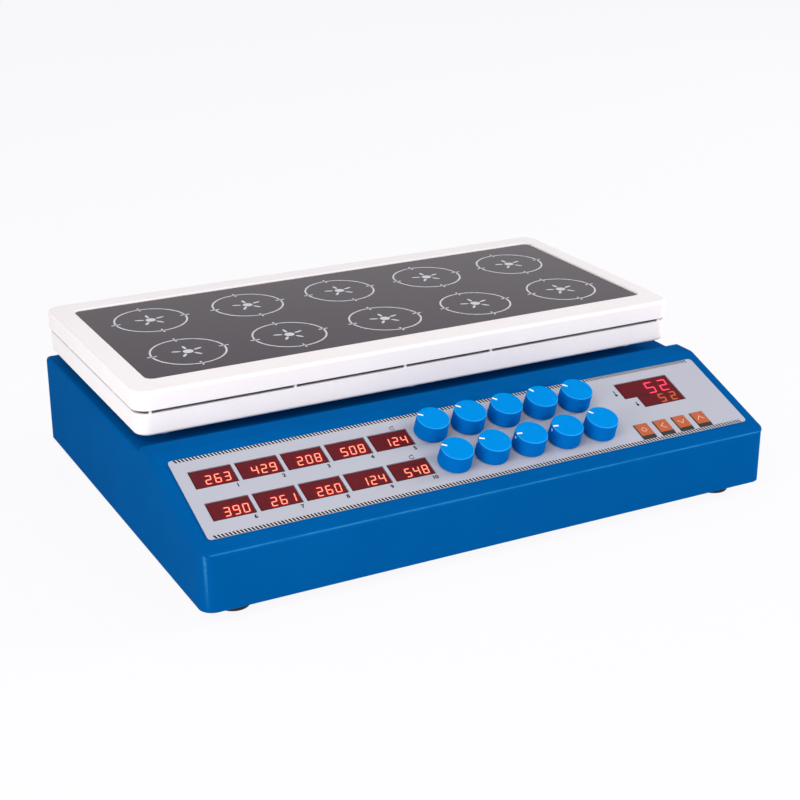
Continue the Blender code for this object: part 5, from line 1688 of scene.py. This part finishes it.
# Rear
@dataclass
class PowerInlet:
    """The power inlet and its rocker switch in the rear wall."""

    x: float = -0.155658
    z: float = 0.0460
    wall_y: float = 0.1725
    face_y: float = 0.1750
    body_size: Point = (0.0540, 0.0240)
    body_depth: float = 0.0270
    flange: float = 0.0025
    socket_offset: float = 0.0115
    socket_size: Point = (0.0242, 0.0162)
    socket_depth: float = 0.0165
    socket_chamfer: float = 0.0042
    flange_edge: tuple[Point, ...] = ((0.0007, 0.0), (0.0002, 0.0002), (0.0, 0.0007))    # inset and depth
    pin_length: float = 0.0140
    pin_size: Point = (0.0020, 0.0040)
    pin_places: tuple[Point, ...] = ((-0.0070, -0.0020), (0.0070, -0.0020), (0.0, 0.0020))
    pin_taper: tuple[Point, ...] = ((0.0010, 0.0), (0.0004, 0.0004), (0.0, 0.0012))      # less width, depth
    rocker_offset: float = 0.0150
    rocker_half: float = 0.0088
    rocker_width: float = 0.0124
    rocker_clearance: float = 0.0007
    rocker_rise: float = 0.0012      # ends of the rocker's face over its middle
    rocker_face: float = 0.0003      # its face's middle over the pivot
    sign_offset: float = 0.0048
    sign_height: float = 0.0042
    pivot_depth: float = 0.0034
    belly: float = 0.0078
    tilt: float = math.radians(10.0)
    vent_middle: Point = (0.09038, 0.0500)
    vent_size: Point = (0.0420, 0.0040)
    vent_pitch: float = 0.0110
    vent_count: int = 8

    def behind(self, x: float, depth: float) -> Matrix:
        """Return the matrix of a place behind the flange's face, local Z pointing into the machine."""
        return Matrix.Translation((x, self.face_y - depth, self.z)) @ Matrix.Rotation(math.pi / 2, 4, "X")

    def wall_openings(self, margin: float) -> list[Outline]:
        """Return the outlines cut out of the rear wall."""
        first = self.vent_middle[0] - (self.vent_count - 1) * self.vent_pitch / 2
        vents = [slot(*self.vent_size, (first + index * self.vent_pitch, self.vent_middle[1]))
                 for index in range(self.vent_count)]
        width, height = (size + 2 * margin for size in self.body_size)
        return vents + [rectangle(width, height, (self.x, self.z))]

    def housing(self) -> bpy.types.Mesh:
        """Return the moulded body with its socket and the rocker's pocket."""
        thickness = self.face_y - self.wall_y - 0.0003
        wide, high = self.body_size[0] + 2 * self.flange, self.body_size[1] + 2 * self.flange
        flange = loft([(rounded(wide - 2 * inset, high - 2 * inset, self.flange - inset, steps=6), z)
                       for inset, z in (*self.flange_edge, (0.0, thickness))])
        body = plate([rectangle(*self.body_size)], thickness / 2, self.body_depth)
        solid = combine(flange, "UNION", [body])
        half_x, half_y, cut = self.socket_size[0] / 2, self.socket_size[1] / 2, self.socket_chamfer
        mouth = [(-half_x, -half_y), (half_x, -half_y), (half_x, half_y - cut), (half_x - cut, half_y),
                 (cut - half_x, half_y), (-half_x, half_y - cut)]
        socket = moved(plate([mouth], -OVERRUN, self.socket_depth),
                       Matrix.Translation((self.socket_offset, 0.0, 0.0)))
        reach = self.rocker_half + self.rocker_clearance
        pocket = moved(plate([rectangle(2 * reach, self.rocker_width + 0.0006)], -OVERRUN,
                             self.pivot_depth + self.belly + self.rocker_clearance),
                       Matrix.Translation((-self.rocker_offset, 0.0, 0.0)))
        hollow = combine(solid, "DIFFERENCE", [socket, pocket])
        return smoothed(moved(hollow, self.behind(self.x, 0.0)), 32.0)

    def pins(self) -> bpy.types.Mesh:
        """Return the socket's three flat pins with tapered ends."""
        width, height = self.pin_size
        levels = (*self.pin_taper, (0.0, self.pin_length + 0.0005))
        found = [loft([(rectangle(width - taper, height - taper, place), z) for taper, z in levels])
                 for place in self.pin_places]
        place = self.behind(self.x + self.socket_offset, self.socket_depth - self.pin_length)
        return moved(joined(found), place)

    def rocker(self) -> tuple[bpy.types.Mesh, bpy.types.Mesh]:
        """Return the rocker and the signs on its two ends."""
        end, middle, rise = self.rocker_half, self.rocker_face, self.rocker_rise
        outline = [(end, middle + rise), (0.0, middle), (-end, middle + rise), (-end, -rise)]
        outline += arc(0.0, 0.0, self.belly, math.radians(195), math.radians(150), 14)
        outline.append((end, -rise))
        half = self.rocker_width / 2
        body = softened(plate([outline], -half, half), 0.0003, 3, 50.0)
        slant = math.atan2(rise, end)
        signs = []
        for side, text in ((-1, "I"), (1, "O")):
            facing = (Matrix.Translation((side * self.sign_offset, 0.00096, 0.0))
                      @ Matrix.Rotation(side * slant, 4, "Z") @ Matrix.Rotation(-math.pi / 2, 4, "X")
                      @ Matrix.Rotation(math.pi, 4, "Z"))
            signs.append(moved(lettering(text, self.sign_height, -0.00003, 0.00004), facing))
        pivot = (Matrix.Translation((self.x - self.rocker_offset, self.face_y - self.pivot_depth, self.z))
                 @ Matrix.Rotation(self.tilt, 4, "Z"))
        return moved(smoothed(body), pivot), moved(joined(signs), pivot)

    def build(self) -> None:
        """Make the inlet, its pins and the rocker."""
        add_piece("inlet_moulding", self.housing(), BLACK_PLASTIC, replaces=["power_module"])
        add_piece("inlet_pins", smoothed(self.pins()), NICKEL)
        rocker, signs = self.rocker()
        add_piece("switch_rocker", rocker, BLACK_PLASTIC, "rocker", ["power_rocker"])
        add_piece("switch_signs", signs, WHITE_MARK, "rocker")


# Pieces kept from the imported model
@dataclass
class PackedPieces:
    """The nodes whose shape is kept, and their finishes."""

    finishes: dict[str, Finish] = field(default_factory=lambda: {
        "control_panel": FILM, "base_plate": ZINC, "motor_carrier": ZINC, "heater_plate": ALUMINIUM,
        "control_board": BOARD, "stir_motor": ZINC, "magnet_rotor": NICKEL})

    def build(self) -> None:
        """Dress the nodes."""
        for name, node in frame["nodes"].items():
            for start, finish in self.finishes.items():
                if name.startswith(start):
                    node.data.materials.clear()
                    node.data.materials.append(finish.material())
                    LOG.info("%s: dressed as %s", name, finish.name)


# Studio
@dataclass
class Lamp:
    """A soft square lamp."""

    name: str
    place: tuple[float, float, float]
    size: float
    power: float
    mirrored: bool = True            # whether glossy surfaces show the lamp itself

    def build(self, target: Vector) -> None:
        """Hang the lamp and aim it."""
        data = bpy.data.lights.new(self.name, "AREA")
        data.shape = "SQUARE"
        data.size = self.size
        data.energy = self.power
        lamp = bpy.data.objects.new(self.name, data)
        lamp.location = self.place
        lamp.visible_glossy = self.mirrored
        lamp.rotation_mode = "QUATERNION"
        lamp.rotation_quaternion = (target - lamp.location).to_track_quat("-Z", "Y")
        bpy.context.scene.collection.objects.link(lamp)


@dataclass
class Studio:
    """The floor, the world, the lamps and the camera."""

    camera_place: tuple[float, float, float] = (-0.55385, -1.0573, 0.5270)
    camera_back: tuple[float, float, float] = (-0.43484324, -0.82323017, 0.36497048)
    lens: float = 72.165
    sensor: float = 36.0
    backdrop: Colour = (0.975, 0.965, 0.985)
    daylight: float = 0.33
    floor_albedo: float = 0.85
    floor_shadow: float = 0.07       # share of the floor's own shade that the camera sees
    painted_shadow_reach: tuple[float, float] = (0.165, 0.105)    # half size of the painted shadow under the machine
    painted_shadow_fade: float = 0.035
    lamp_target: tuple[float, float, float] = (0.0, 0.0, 0.06)
    lamps: tuple[Lamp, ...] = (
        Lamp("key_softbox", (-0.95, -0.90, 1.15), 0.7, 9.0),
        Lamp("top_softbox", (-0.45, 0.45, 1.70), 1.2, 4.5),
        Lamp("front_softbox", (0.60, -1.70, 0.60), 0.5, 9.5),
        Lamp("left_softbox", (-1.60, -0.70, 0.50), 0.6, 11.5),
        Lamp("right_softbox", (2.70, -0.45, 1.20), 1.2, 62.0, mirrored=False))

    def seen_white(self, graph: Graph) -> bpy.types.NodeSocket:
        """Return 1 for the rays that see the surround itself: the camera's, mirrored and refracted ones."""
        path = graph.add("ShaderNodeLightPath").outputs
        direct = graph.math("MAXIMUM", path["Is Camera Ray"], path["Is Glossy Ray"])
        return graph.math("MAXIMUM", direct, path["Is Transmission Ray"])

    def build_world(self) -> None:
        """Make an even pale surround."""
        world = bpy.data.worlds.new("studio")
        bpy.context.scene.world = world
        world.use_nodes = True
        world.node_tree.nodes.clear()
        graph = Graph(world.node_tree)
        light, seen = (graph.add("ShaderNodeBackground", {"Color": (*colour, 1.0), "Strength": strength})
                       for colour, strength in (((1.0, 1.0, 1.0), self.daylight), (self.backdrop, 1.0)))
        both = graph.add("ShaderNodeMixShader", {0: self.seen_white(graph), 1: light.outputs[0],
                                                 2: seen.outputs[0]})
        graph.add("ShaderNodeOutputWorld", {"Surface": both.outputs[0]})

    def build_floor(self) -> None:
        """Make the pale floor, which keeps a little of the object's shadow, with a painted shadow under the
        machine.
        """
        mesh = moved(plate([rectangle(8.0, 8.0)], -0.01, 0.0), Matrix.Translation((0.0, 1.0, 0.0)))
        material = bpy.data.materials.new("pale_floor")
        material.use_nodes = True
        material.node_tree.nodes.clear()
        graph = Graph(material.node_tree)
        own, shade = (graph.add("ShaderNodeBsdfDiffuse", {"Color": (level, level, level, 1.0)}).outputs[0]
                      for level in (self.floor_albedo, self.floor_shadow))
        place = graph.add("ShaderNodeSeparateXYZ", {0: graph.add("ShaderNodeTexCoord").outputs["Object"]})
        # painted shadow: the floor's glow fades out under the machine's footprint
        under = [graph.ramp(graph.math("ABSOLUTE", place.outputs[axis]), reach, reach + self.painted_shadow_fade,
                            1.0, 0.0) for axis, reach in enumerate(self.painted_shadow_reach)]
        open_share = graph.math("SUBTRACT", 1.0, graph.math("MULTIPLY", *under))
        strength = graph.math("MULTIPLY", open_share, 1.0 - self.floor_shadow)
        glow = graph.add("ShaderNodeEmission", {"Color": (*self.backdrop, 1.0), "Strength": strength})
        seen = graph.add("ShaderNodeAddShader", {0: shade, 1: glow.outputs[0]})
        both = graph.add("ShaderNodeMixShader", {0: self.seen_white(graph), 1: own, 2: seen.outputs[0]})
        graph.add("ShaderNodeOutputMaterial", {"Surface": both.outputs[0]})
        mesh.materials.clear()
        mesh.materials.append(material)
        floor = bpy.data.objects.new("floor", mesh)
        bpy.context.scene.collection.objects.link(floor)

    def build_camera(self) -> None:
        """Set the camera at the photograph's place."""
        data = bpy.data.cameras.new("camera")
        data.lens = self.lens
        data.sensor_width = self.sensor
        data.clip_start = 0.05
        camera = bpy.data.objects.new("camera", data)
        camera.location = self.camera_place
        camera.rotation_mode = "QUATERNION"
        camera.rotation_quaternion = (-Vector(self.camera_back)).to_track_quat("-Z", "Y")
        bpy.context.scene.collection.objects.link(camera)
        bpy.context.scene.camera = camera

    def build(self) -> None:
        """Make the studio."""
        self.build_world()
        self.build_floor()
        for lamp in self.lamps:
            lamp.build(Vector(self.lamp_target))
        self.build_camera()
        bpy.context.scene.view_settings.view_transform = "Standard"


def main() -> None:
    """Build the machine's pieces and the studio in order."""
    logging.basicConfig(level=logging.INFO, format="%(name)s: %(message)s")
    panel, rear, tray = Panel(), PowerInlet(), Tray()
    Housing().build(panel, rear, tray)
    panel.build()
    Knobs().build()
    Keys().build()
    tray.build()
    rear.build()
    PackedPieces().build()
    Studio().build()


if __name__ == "__main__":
    main()
